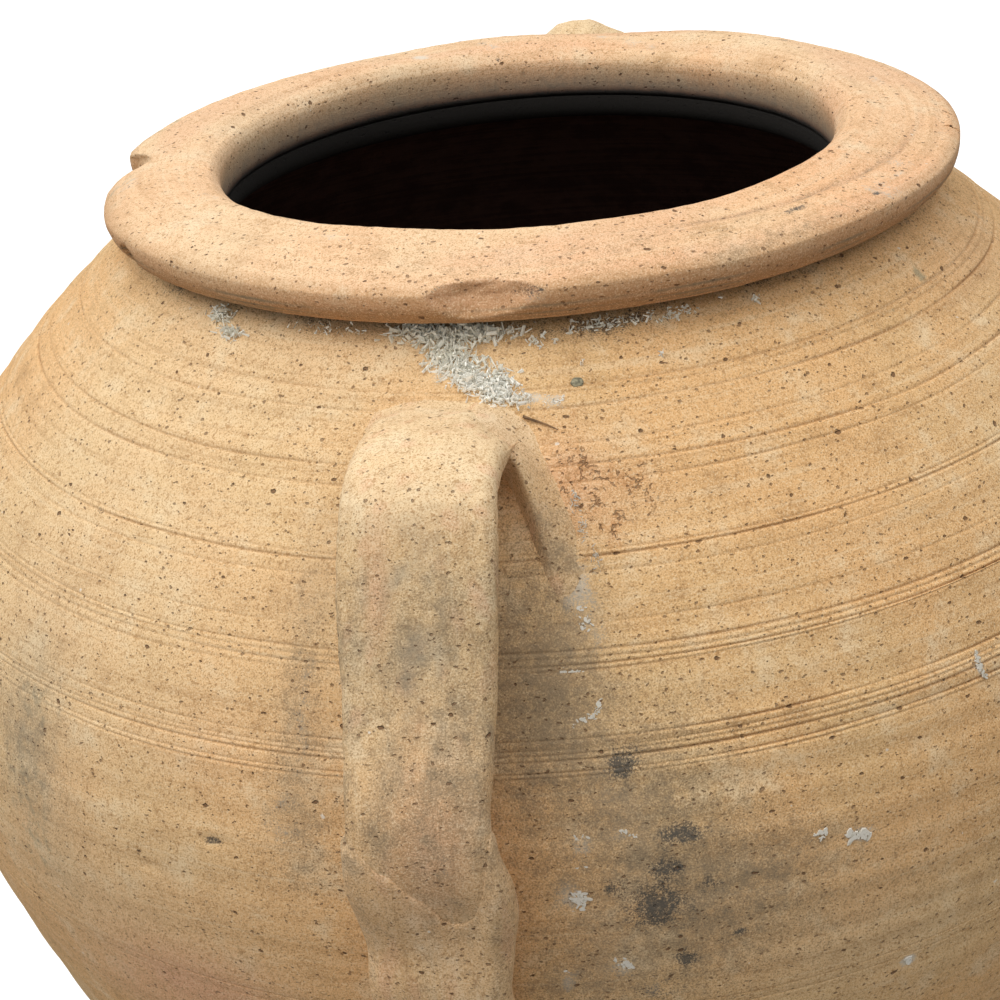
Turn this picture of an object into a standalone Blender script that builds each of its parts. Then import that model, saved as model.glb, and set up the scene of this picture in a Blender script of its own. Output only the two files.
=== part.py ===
"""Terracotta olive jar: a big-bellied storage jar thrown in courses, with two strap handles luted on.

The floor, five courses of wall and the rim are turned shapes that meet on sloping scarf joints. Each handle is a
clay strap that leaves the shoulder, bends down and runs back into the belly, with a collar of luting clay round its
root and a smeared wrap round its foot. Metres, +Z up, standing on z = 0 with the jar's axis on Z and the handles
on -Y (front) and +Y (rear).
"""

import math

import bmesh
import bpy
from mathutils import Matrix, Vector

# Jar body
BASE_RADIUS = 0.088
FOOT_TO_BELLY = 0.3715
BELLY_RADIUS = 0.230
BELLY_ROUNDING_DEPTH = 0.0645  # over which the belly turns into the straight taper below it
BELLY_TO_SEAT = 0.145  # widest line up to the seat that the rim stands on
WALL = 0.014
FLOOR = 0.016
FOOT_EDGE = 0.006  # height of the floor disc's outer edge
FOOT_CHAMFER = 0.002

# Rim
RIM_RADIUS = 0.145
MOUTH_RADIUS = 0.104
RIM_THICKNESS = 0.0205
RIM_EDGE_HEIGHT = 0.0135  # of the rim's widest line over its seat
RIM_FALL = 0.0055  # slope of the rim's top, down to its outer edge
RIM_OVERHANG = 0.013  # how far the rim stands out over the shoulder
RIM_SQUARENESS = 2.7  # 2 is a round roll, more is flatter

# Joints between the thrown courses of the wall
LOWER_COURSES = ("foot_wall", "lower_wall", "flank_wall")  # of equal height
BELLY_SEAM_DROP = 0.054  # below the widest line
SHOULDER_SEAM_RISE = 0.045  # above it
SCARF_RISE = 0.010
JOINT_GAP = 0.0003

# Handles
STRAP_WIDTH = 0.0415
STRAP_THICKNESS = 0.0125
STRAP_SQUARENESS = 3.2
HANDLE_TURN = {"front": 0.0, "rear": 182.0}  # degrees about the jar's axis
CREST_LIFT = {"front": 0.0, "rear": 0.017}
# Stations along a strap: drop below the rim's seat, clear space behind the strap, share of the crest's lift that
# the station takes, and width as a share of the strap's own
STRAP_ROUTE = {
    "buried_root": {"drop": 0.0220, "clearance": -0.0260, "lift_share": 0.40, "width_share": 1.05},
    "crest": {"drop": 0.0197, "clearance": 0.0269, "lift_share": 1.00, "width_share": 1.03},
    "bend": {"drop": 0.0230, "clearance": 0.0376, "lift_share": 0.95, "width_share": 1.03},
    "hip": {"drop": 0.0319, "clearance": 0.0369, "lift_share": 0.70, "width_share": 1.03},
    "shank": {"drop": 0.0696, "clearance": 0.0218, "lift_share": 0.20, "width_share": 1.01},
    "elbow": {"drop": 0.1035, "clearance": 0.0215, "lift_share": 0.00, "width_share": 0.98},
    "pinch": {"drop": 0.1385, "clearance": 0.0085, "lift_share": 0.00, "width_share": 0.93},
    "nape": {"drop": 0.1559, "clearance": 0.0088, "lift_share": 0.00, "width_share": 0.97},
    "foot": {"drop": 0.1855, "clearance": -0.0020, "lift_share": 0.00, "width_share": 1.02},
    "buried_heel": {"drop": 0.2165, "clearance": -0.0200, "lift_share": 0.00, "width_share": 1.02},
}
COLLAR_WIDTH = 0.072
COLLAR_HEIGHT = 0.056  # along the slope of the shoulder
COLLAR_STAND = 0.012  # how far the luting collar stands off the shoulder
COLLAR_DROP = 0.0142  # of its middle, below the strap's root
WRAP_DROP = 0.1215  # below the rim's seat, at the middle of the wrap's upper edge
WRAP_THICKNESS = 0.003
WRAP_SLANT = 24.0  # degrees, down to the right

# Broken places on the rim: bearing in degrees from the front, turning to the right, the hollow's centre out from
# the rim's edge and up from its seat, and its half lengths round, out and up
RIM_CHIPS = {
    "front_flake": {"bearing": 2.5, "out": 0.004, "up": 0.0095, "half": (0.0135, 0.0075, 0.0065)},
    "left_nick": {"bearing": -53.5, "out": 0.003, "up": 0.0040, "half": (0.0075, 0.0075, 0.0080)},
    "coil_end": {"bearing": -73.0, "out": 0.009, "up": 0.0250, "half": (0.0380, 0.0210, 0.0140)},
    "coil_notch": {"bearing": -90.0, "out": 0.005, "up": 0.0140, "half": (0.0050, 0.0125, 0.0125)},
    "worn_back": {"bearing": -112.0, "out": 0.0235, "up": 0.0120, "half": (0.0480, 0.0260, 0.0220)},
}

# Fineness
TURNS = 64  # steps round the jar
WALL_ROWS = 5
ENVELOPE_ROWS = 56
FLOOR_ROWS = 3
RIM_POINTS = 20
STRAP_POINTS = 16
ROUTE_STEPS = 4

TERRACOTTA = (0.66, 0.43, 0.22)
RIM_CLAY = (0.70, 0.44, 0.25)
STRAP_CLAY = (0.58, 0.40, 0.23)
LUTE_CLAY = (0.55, 0.38, 0.22)
FLOOR_CLAY = (0.60, 0.37, 0.20)

SEAT = FOOT_TO_BELLY + BELLY_TO_SEAT
NECK_RADIUS = RIM_RADIUS - RIM_OVERHANG


def clear_scene():
    for obj in list(bpy.data.objects):
        bpy.data.objects.remove(obj, do_unlink=True)


def new_collection(name):
    collection = bpy.data.collections.new(name)
    bpy.context.scene.collection.children.link(collection)
    return collection


def clay(name, colour, roughness=0.9):
    material = bpy.data.materials.new(name)
    material.use_nodes = True
    shader = material.node_tree.nodes["Principled BSDF"]
    shader.inputs["Base Color"].default_value = (*colour, 1)
    shader.inputs["Roughness"].default_value = roughness
    shader.inputs["Metallic"].default_value = 0
    return material


# The jar's outline

def outer_radius(z):
    """A straight taper from the foot that rounds into the belly, then a parabola over the shoulder."""
    if z < FOOT_TO_BELLY:
        full = taper(FOOT_TO_BELLY)
        return BELLY_RADIUS - (BELLY_RADIUS - BASE_RADIUS) * taper(FOOT_TO_BELLY - z) / full
    share = (z - FOOT_TO_BELLY) / BELLY_TO_SEAT
    return BELLY_RADIUS - (BELLY_RADIUS - NECK_RADIUS) * share**2


def taper(depth):
    """A hyperbola: flat at the belly's widest line, straight well below it."""
    return math.hypot(depth, BELLY_ROUNDING_DEPTH) - BELLY_ROUNDING_DEPTH


def outward(z, reach=0.0005):
    """The wall's outward normal, as (radius, height)."""
    slope = (outer_radius(z + reach) - outer_radius(z - reach)) / (2 * reach)
    return Vector((1, -slope)).normalized()


def skin(z, offset=0.0):
    """The point of the outline at z, moved out by the offset."""
    return Vector((outer_radius(z), z)) + outward(z) * offset


def inner_height(z):
    """The outline height whose inner point lies at z, by halving."""
    low, high = z - WALL, z + WALL
    for _ in range(40):
        middle = (low + high) / 2
        if skin(middle, -WALL).y < z:
            low = middle
        else:
            high = middle
    return low


def spread(first, last, count):
    return [first + (last - first) * i / (count - 1) for i in range(count)]


# Turned pieces

def turned(name, outline, closed, collection, material=None):
    """A profile at +X, running down its outer side, turned about Z."""
    mesh = bpy.data.meshes.new(name)
    shape = bmesh.new()
    points = [shape.verts.new((radius, 0, height)) for radius, height in outline]
    for first, second in zip(points, points[1:]):
        shape.edges.new((first, second))
    if closed:
        shape.edges.new((points[-1], points[0]))
    shape.to_mesh(mesh)
    shape.free()
    obj = bpy.data.objects.new(name, mesh)
    collection.objects.link(obj)
    screw = obj.modifiers.new("turn", "SCREW")
    screw.axis = "Z"
    screw.steps = screw.render_steps = TURNS
    screw.use_merge_vertices = True
    screw.merge_threshold = 0.00005
    screw.use_smooth_shade = True
    if material:
        mesh.materials.append(material)
    return obj


def scarf_gap(rise):
    """The height between two sloping joint faces that lie JOINT_GAP apart."""
    return JOINT_GAP * math.hypot(1, rise / WALL)


def joint_above(seam, on_floor=False):
    """The face that rests on a joint: outline heights of its outer and inner edge."""
    if on_floor:
        gap = scarf_gap(FLOOR - FOOT_EDGE)
        return seam + gap, inner_height(FLOOR + gap)
    return seam, seam + SCARF_RISE


def joint_below(seam):
    """The face that carries a joint, JOINT_GAP under it."""
    gap = scarf_gap(SCARF_RISE)
    return seam - gap, seam + SCARF_RISE - gap


def wall_section(name, bottom, top):
    """A course of wall between two joint faces."""
    outside = [skin(z) for z in spread(top[0], bottom[0], WALL_ROWS)]
    inside = [skin(z, -WALL) for z in spread(bottom[1], top[1], WALL_ROWS)]
    return turned(name, outside + inside, True, PARTS, clay(name + "_clay", TERRACOTTA))


def floor_disc(material):
    chamfer = min(FOOT_CHAMFER, FOOT_EDGE / 2)
    ledge = skin(inner_height(FLOOR), -WALL)
    edge = [skin(z) for z in spread(FOOT_EDGE, chamfer, FLOOR_ROWS)]
    outline = [(0, FLOOR), ledge, *edge, (BASE_RADIUS - chamfer, 0), (0, 0)]
    return turned("floor_disc", outline, False, PARTS, material)


def rim_outline():
    """A flattened roll, widest near its top, which slopes down to its outer edge; its underside lies on the seat."""
    half_width = (RIM_RADIUS - MOUTH_RADIUS) / 2
    crown = RIM_THICKNESS - RIM_EDGE_HEIGHT
    power = 2 / RIM_SQUARENESS
    outline = []
    for i in range(RIM_POINTS):
        angle = math.pi / 2 - math.tau * (i + 0.5) / RIM_POINTS
        across = math.copysign(abs(math.cos(angle)) ** power, math.cos(angle))
        up = math.copysign(abs(math.sin(angle)) ** power, math.sin(angle))
        if up > 0:
            rise = up * (crown - RIM_FALL * (across + 1) / 2)
        else:
            rise = up * RIM_EDGE_HEIGHT
        radius = MOUTH_RADIUS + half_width * (1 + across)
        outline.append((radius, SEAT + RIM_EDGE_HEIGHT + rise))
    return outline


def chip_cutter(name, bearing, out, up, half):
    """A lens-shaped hollow that breaks the rim's edge."""
    mesh = bpy.data.meshes.new(name)
    shape = bmesh.new()
    bmesh.ops.create_icosphere(shape, subdivisions=2, radius=1)
    turn = Matrix.Rotation(math.radians(bearing), 4, "Z")
    place = Matrix.Translation((0, -(RIM_RADIUS + out), SEAT + up))
    shape.transform(turn @ place @ Matrix.Diagonal((*half, 1)))
    shape.to_mesh(mesh)
    shape.free()
    return as_cutter(bpy.data.objects.new(name, mesh))


def rim_ring(material):
    rim = turned("rim_ring", rim_outline(), True, PARTS, material)
    for name, chip in RIM_CHIPS.items():
        cut(rim, chip_cutter(name, **chip))
    return rim


def jar_envelope():
    """Wall and rim as one solid, grown by the joint gap: what is luted to the jar is cut back to it."""
    edge = RIM_RADIUS + JOINT_GAP
    roof = SEAT + RIM_THICKNESS + JOINT_GAP
    eaves = SEAT - JOINT_GAP
    wall = [skin(z, JOINT_GAP) for z in spread(eaves, 0, ENVELOPE_ROWS)]
    outline = [(0, roof), (edge, roof), (edge, eaves), *wall, (0, -JOINT_GAP)]
    return as_cutter(turned("jar_envelope", outline, False, CUTTERS))


# Cutting

def as_cutter(obj):
    if not obj.users_collection:
        CUTTERS.objects.link(obj)
    obj.hide_render = True
    obj.display_type = "WIRE"
    return obj


def cut(obj, cutter, operation="DIFFERENCE"):
    modifier = obj.modifiers.new(cutter.name, "BOOLEAN")
    modifier.operation = operation
    modifier.solver = "EXACT"
    modifier.object = cutter


# Handles

def strap_stations(lift):
    """The strap's centre line as points on the plane x = 0, towards -Y, with a width for each."""
    stations = []
    for station in STRAP_ROUTE.values():
        height = SEAT - station["drop"]
        radius = outer_radius(height) + station["clearance"] + STRAP_THICKNESS / 2
        place = Vector((0, -radius, height + lift * station["lift_share"]))
        stations.append((place, station["width_share"]))
    return stations


def strap_section(name, margin):
    """A flat strap's cross-section with rounded edges, grown by a margin."""
    curve = bpy.data.curves.new(name, "CURVE")
    curve.dimensions = "2D"
    curve.fill_mode = "NONE"
    spline = curve.splines.new("POLY")
    spline.points.add(STRAP_POINTS - 1)
    spline.use_cyclic_u = True
    power = 2 / STRAP_SQUARENESS
    for i, point in enumerate(spline.points):
        angle = math.tau * (i + 0.5) / STRAP_POINTS
        across = math.copysign(abs(math.cos(angle)) ** power, math.cos(angle))
        through = math.copysign(abs(math.sin(angle)) ** power, math.sin(angle))
        point.co = (across * (STRAP_WIDTH / 2 + margin), through * (STRAP_THICKNESS / 2 + margin), 0, 1)
    return as_cutter(bpy.data.objects.new(name, curve))


def strap(name, side, margin=0.0):
    """The strap of one handle as a closed mesh that still runs on into the jar's wall."""
    section = strap_section(name + "_section", margin)
    curve = bpy.data.curves.new(name, "CURVE")
    curve.dimensions = "3D"
    curve.twist_mode = "MINIMUM"
    curve.resolution_u = ROUTE_STEPS
    curve.bevel_mode = "OBJECT"
    curve.bevel_object = section
    curve.use_fill_caps = True
    stations = strap_stations(CREST_LIFT[side])
    spline = curve.splines.new("BEZIER")
    spline.bezier_points.add(len(stations) - 1)
    for point, (place, width) in zip(spline.bezier_points, stations):
        point.co = place
        point.radius = width
        point.handle_left_type = point.handle_right_type = "AUTO"
    guide = bpy.data.objects.new(name, curve)
    guide.rotation_euler.z = math.radians(HANDLE_TURN[side])
    CUTTERS.objects.link(guide)
    bpy.context.view_layer.update()
    evaluated = guide.evaluated_get(bpy.context.evaluated_depsgraph_get())
    mesh = bpy.data.meshes.new_from_object(evaluated)
    shape = bmesh.new()
    shape.from_mesh(mesh)
    bmesh.ops.remove_doubles(shape, verts=shape.verts, dist=0.00001)
    bmesh.ops.recalc_face_normals(shape, faces=shape.faces)
    shape.to_mesh(mesh)
    shape.free()
    place = guide.matrix_world.copy()
    bpy.data.objects.remove(guide)
    bpy.data.objects.remove(section)
    obj = bpy.data.objects.new(name, mesh)
    obj.matrix_world = place
    return obj


def finish_part(obj, material):
    PARTS.objects.link(obj)
    obj.data.materials.clear()
    obj.data.materials.append(material)
    obj.data.shade_smooth()
    obj.data.set_sharp_from_angle(angle=math.radians(40))
    return obj


def collar(side, material, envelope, strap_room):
    """Luting clay pressed under the strap's root and up its sides, as high as the root's own middle."""
    name = side + "_handle_collar"
    root = STRAP_ROUTE["buried_root"]
    brow = SEAT - root["drop"] + CREST_LIFT[side] * root["lift_share"]
    height = brow - COLLAR_DROP
    normal = outward(height)
    seat = skin(height)
    frame = Matrix((
        (1, 0, 0, 0),
        (0, -normal.x, normal.y, -seat.x),
        (0, normal.y, normal.x, seat.y),
        (0, 0, 0, 1),
    ))
    mesh = bpy.data.meshes.new(name)
    shape = bmesh.new()
    bmesh.ops.create_uvsphere(shape, u_segments=24, v_segments=12, radius=1)
    size = Matrix.Diagonal((COLLAR_WIDTH / 2, COLLAR_STAND, COLLAR_HEIGHT / 2, 1))
    shape.transform(Matrix.Rotation(math.radians(HANDLE_TURN[side]), 4, "Z") @ frame @ size)
    everything = shape.verts[:] + shape.edges[:] + shape.faces[:]
    top = Vector((0, 0, brow))
    bmesh.ops.bisect_plane(shape, geom=everything, plane_co=top, plane_no=(0, 0, 1), clear_outer=True)
    bmesh.ops.holes_fill(shape, edges=shape.edges[:])
    bmesh.ops.recalc_face_normals(shape, faces=shape.faces)
    shape.to_mesh(mesh)
    shape.free()
    obj = finish_part(bpy.data.objects.new(name, mesh), material)
    cut(obj, strap_room)
    cut(obj, envelope)
    return obj


def wrap(side, material, envelope, strap_room):
    """Clay smeared over the strap's lower end, with a slanting upper edge."""
    name = side + "_handle_wrap"
    obj = finish_part(strap(name, side, JOINT_GAP + WRAP_THICKNESS), material)
    reach = 2 * (BELLY_RADIUS + STRAP_WIDTH)
    mesh = bpy.data.meshes.new(name + "_slab")
    shape = bmesh.new()
    bmesh.ops.create_cube(shape, size=reach)
    turn = Matrix.Rotation(math.radians(HANDLE_TURN[side]), 4, "Z")
    slant = Matrix.Rotation(math.radians(WRAP_SLANT), 4, "Y")
    top = Matrix.Translation((0, -BELLY_RADIUS, SEAT - WRAP_DROP))
    shape.transform(turn @ top @ slant @ Matrix.Translation((0, 0, -reach / 2)))
    shape.to_mesh(mesh)
    shape.free()
    cut(obj, as_cutter(bpy.data.objects.new(mesh.name, mesh)), "INTERSECT")
    cut(obj, strap_room)
    cut(obj, envelope)
    return obj


def handle(side, strap_material, lute_material, envelope):
    bar = finish_part(strap(side + "_handle_strap", side), strap_material)
    cut(bar, envelope)
    strap_room = as_cutter(strap(side + "_strap_room", side, JOINT_GAP))
    collar(side, lute_material, envelope, strap_room)
    wrap(side, lute_material, envelope, strap_room)


clear_scene()
PARTS = new_collection("terracotta_olive_jar")
CUTTERS = new_collection("cutters")

belly_seam = FOOT_TO_BELLY - BELLY_SEAM_DROP
shoulder_seam = FOOT_TO_BELLY + SHOULDER_SEAM_RISE
seat_below = SEAT - JOINT_GAP

floor_disc(clay("floor_clay", FLOOR_CLAY))
seams = spread(FOOT_EDGE, belly_seam, len(LOWER_COURSES) + 1)
for name, bottom, top in zip(LOWER_COURSES, seams, seams[1:]):
    wall_section(name, joint_above(bottom, bottom == FOOT_EDGE), joint_below(top))
wall_section("belly_wall", joint_above(belly_seam), joint_below(shoulder_seam))
wall_section("shoulder_wall", joint_above(shoulder_seam), (seat_below, inner_height(seat_below)))
rim_ring(clay("rim_clay", RIM_CLAY))

envelope = jar_envelope()
for side in HANDLE_TURN:
    handle(side, clay(side + "_strap_clay", STRAP_CLAY), clay(side + "_lute_clay", LUTE_CLAY), envelope)
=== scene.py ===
import math

import bmesh
import bpy
import numpy as np
from mathutils import Matrix, Vector


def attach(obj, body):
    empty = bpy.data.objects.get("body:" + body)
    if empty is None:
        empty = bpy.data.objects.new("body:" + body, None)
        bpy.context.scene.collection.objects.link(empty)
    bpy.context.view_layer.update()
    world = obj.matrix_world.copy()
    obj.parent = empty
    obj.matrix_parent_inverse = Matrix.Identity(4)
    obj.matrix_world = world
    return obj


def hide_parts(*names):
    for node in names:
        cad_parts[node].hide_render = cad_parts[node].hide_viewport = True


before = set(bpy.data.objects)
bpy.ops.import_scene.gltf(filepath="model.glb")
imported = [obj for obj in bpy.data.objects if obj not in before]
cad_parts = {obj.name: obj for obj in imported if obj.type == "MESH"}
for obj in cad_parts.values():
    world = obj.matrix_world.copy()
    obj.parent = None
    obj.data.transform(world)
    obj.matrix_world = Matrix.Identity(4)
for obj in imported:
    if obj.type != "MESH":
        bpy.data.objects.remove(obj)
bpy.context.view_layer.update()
scene = bpy.context.scene
scene.view_settings.view_transform = "Standard"
tau = math.tau

# jar outline, in metres, standing on z = 0 with the front handle on -Y
jar = {
    "beltHeight": 0.3715, "beltRadius": 0.230, "rounding": 0.0645, "footRadius": 0.088, "seat": 0.5165,
    "neckRadius": 0.132, "wall": 0.014, "floor": 0.016, "footEdge": 0.006, "footChamfer": 0.002,
    "eaves": (0.5110, 0.5155), "lip": (0.503, 0.507),  # heights between which each gets dark: painted shadow under the rim outside, painted black shade on the lip inside
}


def outerRadius(z):
    depth = np.maximum(jar["beltHeight"] - z, 0)
    full = math.hypot(jar["beltHeight"], jar["rounding"]) - jar["rounding"]
    lean = (np.hypot(depth, jar["rounding"]) - jar["rounding"]) / full
    rise = np.maximum(z - jar["beltHeight"], 0) / (jar["seat"] - jar["beltHeight"])
    return (jar["beltRadius"] - (jar["beltRadius"] - jar["footRadius"]) * lean
            - (jar["beltRadius"] - jar["neckRadius"]) * rise**2)


def wallNormal(z):  # outward, as (radius, height)
    slope = (outerRadius(z + 0.0005) - outerRadius(z - 0.0005)) / 0.001
    length = np.hypot(1, slope)
    return 1 / length, -slope / length


def skin(z, offset=0.0):
    across, up = wallNormal(z)
    return np.stack([outerRadius(z) + across * offset, z + up * offset], -1)


def bearingOf(co):  # radians from the front, turning to the right
    return np.arctan2(co[:, 0], -co[:, 1])


def ringOf(bearing):
    return np.stack([np.sin(bearing), np.cos(bearing)], 1)


def waver(points, size, seed, waves=16):  # smooth seeded noise about that big, spread of about 1
    draw = np.random.default_rng(seed)
    ways = draw.normal(size=(waves, points.shape[1]))
    ways *= (tau / size * draw.uniform(0.6, 1.5, waves) / np.linalg.norm(ways, axis=1))[:, None]
    return np.sin(points @ ways.T + draw.uniform(0, tau, waves)).sum(1) / math.sqrt(waves / 2)


def ease(value, low, high):  # smooth step from 0 at low to 1 at high
    share = np.clip((value - low) / (high - low), 0, 1)
    return share * share * (3 - 2 * share)


def bell(value, middle, wide):  # 1 at the middle, fading on both sides
    return np.exp(-((value - middle) / wide) ** 2)


def turnFrom(degrees, where):  # degrees from a bearing, the short way round
    return (degrees - where + 180) % 360 - 180


def spot(degrees, level, where, at, wide, high):  # 1 in the middle of a soft oval on the clay
    return np.exp(-(turnFrom(degrees, where) / wide) ** 2 - ((level - at) / high) ** 2)


def most(first, *others):
    for other in others:
        first = np.maximum(first, other)
    return first


def aimed(way, along="Z", across="Y"):  # turn that lays one axis along a direction
    return way.to_track_quat(along, across).to_matrix().to_4x4()


def pointsOf(mesh):
    co = np.empty(len(mesh.vertices) * 3)
    mesh.vertices.foreach_get("co", co)
    return co.reshape(-1, 3)


def setPoints(mesh, co):
    mesh.vertices.foreach_set("co", co.astype(np.float32).ravel())
    mesh.update()


def paint(mesh, name, values):
    layer = mesh.attributes.new(name, "FLOAT", "POINT")
    layer.data.foreach_set("value", np.clip(values, 0, 1).astype(np.float32))


def paintAll(mesh, coats):
    for mark in marks:
        paint(mesh, mark, np.zeros(len(mesh.vertices)) + coats.get(mark, 0))


def addObject(name, data):
    made = bpy.data.objects.new(name, data)
    scene.collection.objects.link(made)
    return made


def meshFrom(name, bm):
    mesh = bpy.data.meshes.new(name)
    bm.to_mesh(mesh)
    bm.free()
    return mesh


def finishPiece(name, bm, material, nodes=(), sharp=50):
    mesh = meshFrom(name, bm)
    piece = addObject(name, mesh)
    mesh.materials.append(material)
    mesh.shade_smooth()
    mesh.set_sharp_from_angle(angle=math.radians(sharp))
    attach(piece, "root")
    if nodes:
        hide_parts(*nodes)
    return piece


# camera, at the place worked out from the rim's ellipse
photoCamera = {"reach": 0.7904, "bearing": 9.75, "height": 0.7627,
               "yaw": -1.45, "pitch": 24.77, "roll": -5.39, "lens": 86.4}


def placeCamera(spec):
    lens = bpy.data.cameras.new("photo_camera")
    lens.lens = spec["lens"]
    lens.sensor_width = 36
    lens.clip_start = 0.01
    eye = addObject("photo_camera", lens)
    bearing = math.radians(spec["bearing"])
    reach = spec["reach"]
    place = Matrix.Translation((reach * math.sin(bearing), -reach * math.cos(bearing), spec["height"]))
    turn = Matrix.Rotation(bearing - math.radians(spec["yaw"]), 4, "Z")
    tilt = Matrix.Rotation(math.radians(90 - spec["pitch"]), 4, "X")
    roll = Matrix.Rotation(math.radians(spec["roll"]), 4, "Z")
    eye.matrix_world = place @ turn @ tilt @ roll
    scene.camera = eye


placeCamera(photoCamera)
print("camera placed")


# shader maths: a Wire is a socket that takes part in Python expressions
class Wire:
    def __init__(self, kit, socket):
        self.kit = kit
        self.socket = socket

    def maths(self, operation, first, second, clamp=False):
        settings = {"operation": operation, "use_clamp": clamp}
        return self.kit.node("ShaderNodeMath", settings, {0: first, 1: second})

    def __add__(self, other):
        return self.maths("ADD", self, other)

    def __sub__(self, other):
        return self.maths("SUBTRACT", self, other)

    def __rsub__(self, other):
        return self.maths("SUBTRACT", other, self)

    def __mul__(self, other):
        return self.maths("MULTIPLY", self, other)

    def __truediv__(self, other):
        return self.maths("DIVIDE", self, other)

    def __gt__(self, other):
        return self.maths("GREATER_THAN", self, other)

    def within(self):
        return self.maths("ADD", self, 0.0, True)

    def most(self, other):
        return self.maths("MAXIMUM", self, other)


class NodeKit:  # makes and joins the nodes of one tree
    def __init__(self, owner, coordinates):
        owner.use_nodes = True
        self.tree = owner.node_tree
        self.place = self.node("ShaderNodeTexCoord", {}, {}, coordinates)

    def node(self, kind, settings, sockets, out=0):
        made = self.tree.nodes.new(kind)
        for key, value in settings.items():
            setattr(made, key, value)
        for key, value in sockets.items():
            self.feed(made.inputs[key], value)
        return Wire(self, made.outputs[out])

    def feed(self, socket, value):
        if isinstance(value, Wire):
            self.tree.links.new(value.socket, socket)
        elif socket.type == "RGBA":
            socket.default_value = (*value, 1)
        else:
            socket.default_value = value

    def mix(self, share, first, second):
        return self.node("ShaderNodeMix", {"data_type": "RGBA"}, {0: share, 6: first, 7: second}, 2)

    def stretch(self, scale, vector=None):
        settings = {"operation": "MULTIPLY"}
        return self.node("ShaderNodeVectorMath", settings, {0: vector or self.place, 1: scale})

    def noise(self, scale, detail=2.0, rough=0.5, vector=None, out=0):
        sockets = {"Vector": vector or self.place, "Scale": scale, "Detail": detail, "Roughness": rough}
        return self.node("ShaderNodeTexNoise", {}, sockets, out)

    def ramp(self, value, low, high):
        settings = {"interpolation_type": "SMOOTHSTEP"}
        return self.node("ShaderNodeMapRange", settings, {"Value": value, "From Min": low, "From Max": high})

    def painted(self, name):
        return self.node("ShaderNodeAttribute", {"attribute_name": name}, {}, "Fac")

    def jitter(self, amount, scale):  # object place shaken by noise, for ragged outlines
        shake = self.noise(scale, 1.0, 0.5, None, "Color")
        settings = {"operation": "MULTIPLY_ADD"}
        return self.node("ShaderNodeVectorMath", settings, {0: shake, 1: (amount,) * 3, 2: self.place})

    def dots(self, vector, scale, share, size):  # scattered dots of uneven size, 1 inside
        cells = self.node("ShaderNodeTexVoronoi", {}, {"Vector": vector, "Scale": scale}, "Color")
        away = Wire(self, cells.socket.node.outputs["Distance"])
        chance, spread = (self.node("ShaderNodeSeparateColor", {}, {0: cells}, out) for out in (0, 1))
        radius = (spread * spread * 0.8 + 0.2) * size
        return self.ramp(away / radius, 1.0, 0.55) * (chance > 1 - share)

    def bump(self, height, distance=0.001):  # height in units of distance
        return self.node("ShaderNodeBump", {}, {"Strength": 1.0, "Distance": distance, "Height": height})


class Finish(NodeKit):  # one material
    def __init__(self, name):
        self.material = bpy.data.materials.new(name)
        super().__init__(self.material, "Object")
        self.shader = self.tree.nodes["Principled BSDF"]

    def shade(self, **sockets):
        for name, value in sockets.items():
            self.feed(self.shader.inputs[name.replace("_", " ")], value)


clayTints = {
    "dark": (0.40, 0.215, 0.085), "raw": (0.62, 0.30, 0.125), "pit": (0.17, 0.085, 0.040),
    # the soot tint stands for soot spots and also for painted shade under the rim, inside the lip and along the
    # flake
    "sootAndShade": (0.085, 0.080, 0.070), "lime": (0.82, 0.77, 0.68), "film": (0.71, 0.66, 0.56),
    # the grime tint stands for brown dirt and also for painted shade beside the front strap and down the rim's
    # outer side
    "blush": (0.76, 0.420, 0.255), "lichen": (0.33, 0.31, 0.205), "grimeAndShade": (0.285, 0.210, 0.128),
    "rust": (0.37, 0.195, 0.080), "inside": (0.140, 0.076, 0.056), "insideDark": (0.085, 0.044, 0.034),
    "ash": (0.33, 0.282, 0.205), "shadeBlack": (0.022, 0.020, 0.018),
}
clayScales = {  # noise scale or dots in a metre
    "blotch": 11.0, "cloud": 70.0, "sand": 620.0, "peel": 1900.0, "flaky": 230.0, "vein": 150.0,
    "pit": 155.0, "grit": 430.0, "speck": 230.0,
}
# what is painted on every clay piece
marks = ("sootAndShade", "film", "bloomAndLight", "blush", "lichen", "grimeAndShade", "rust", "inside", "broken", "ash")


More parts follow.
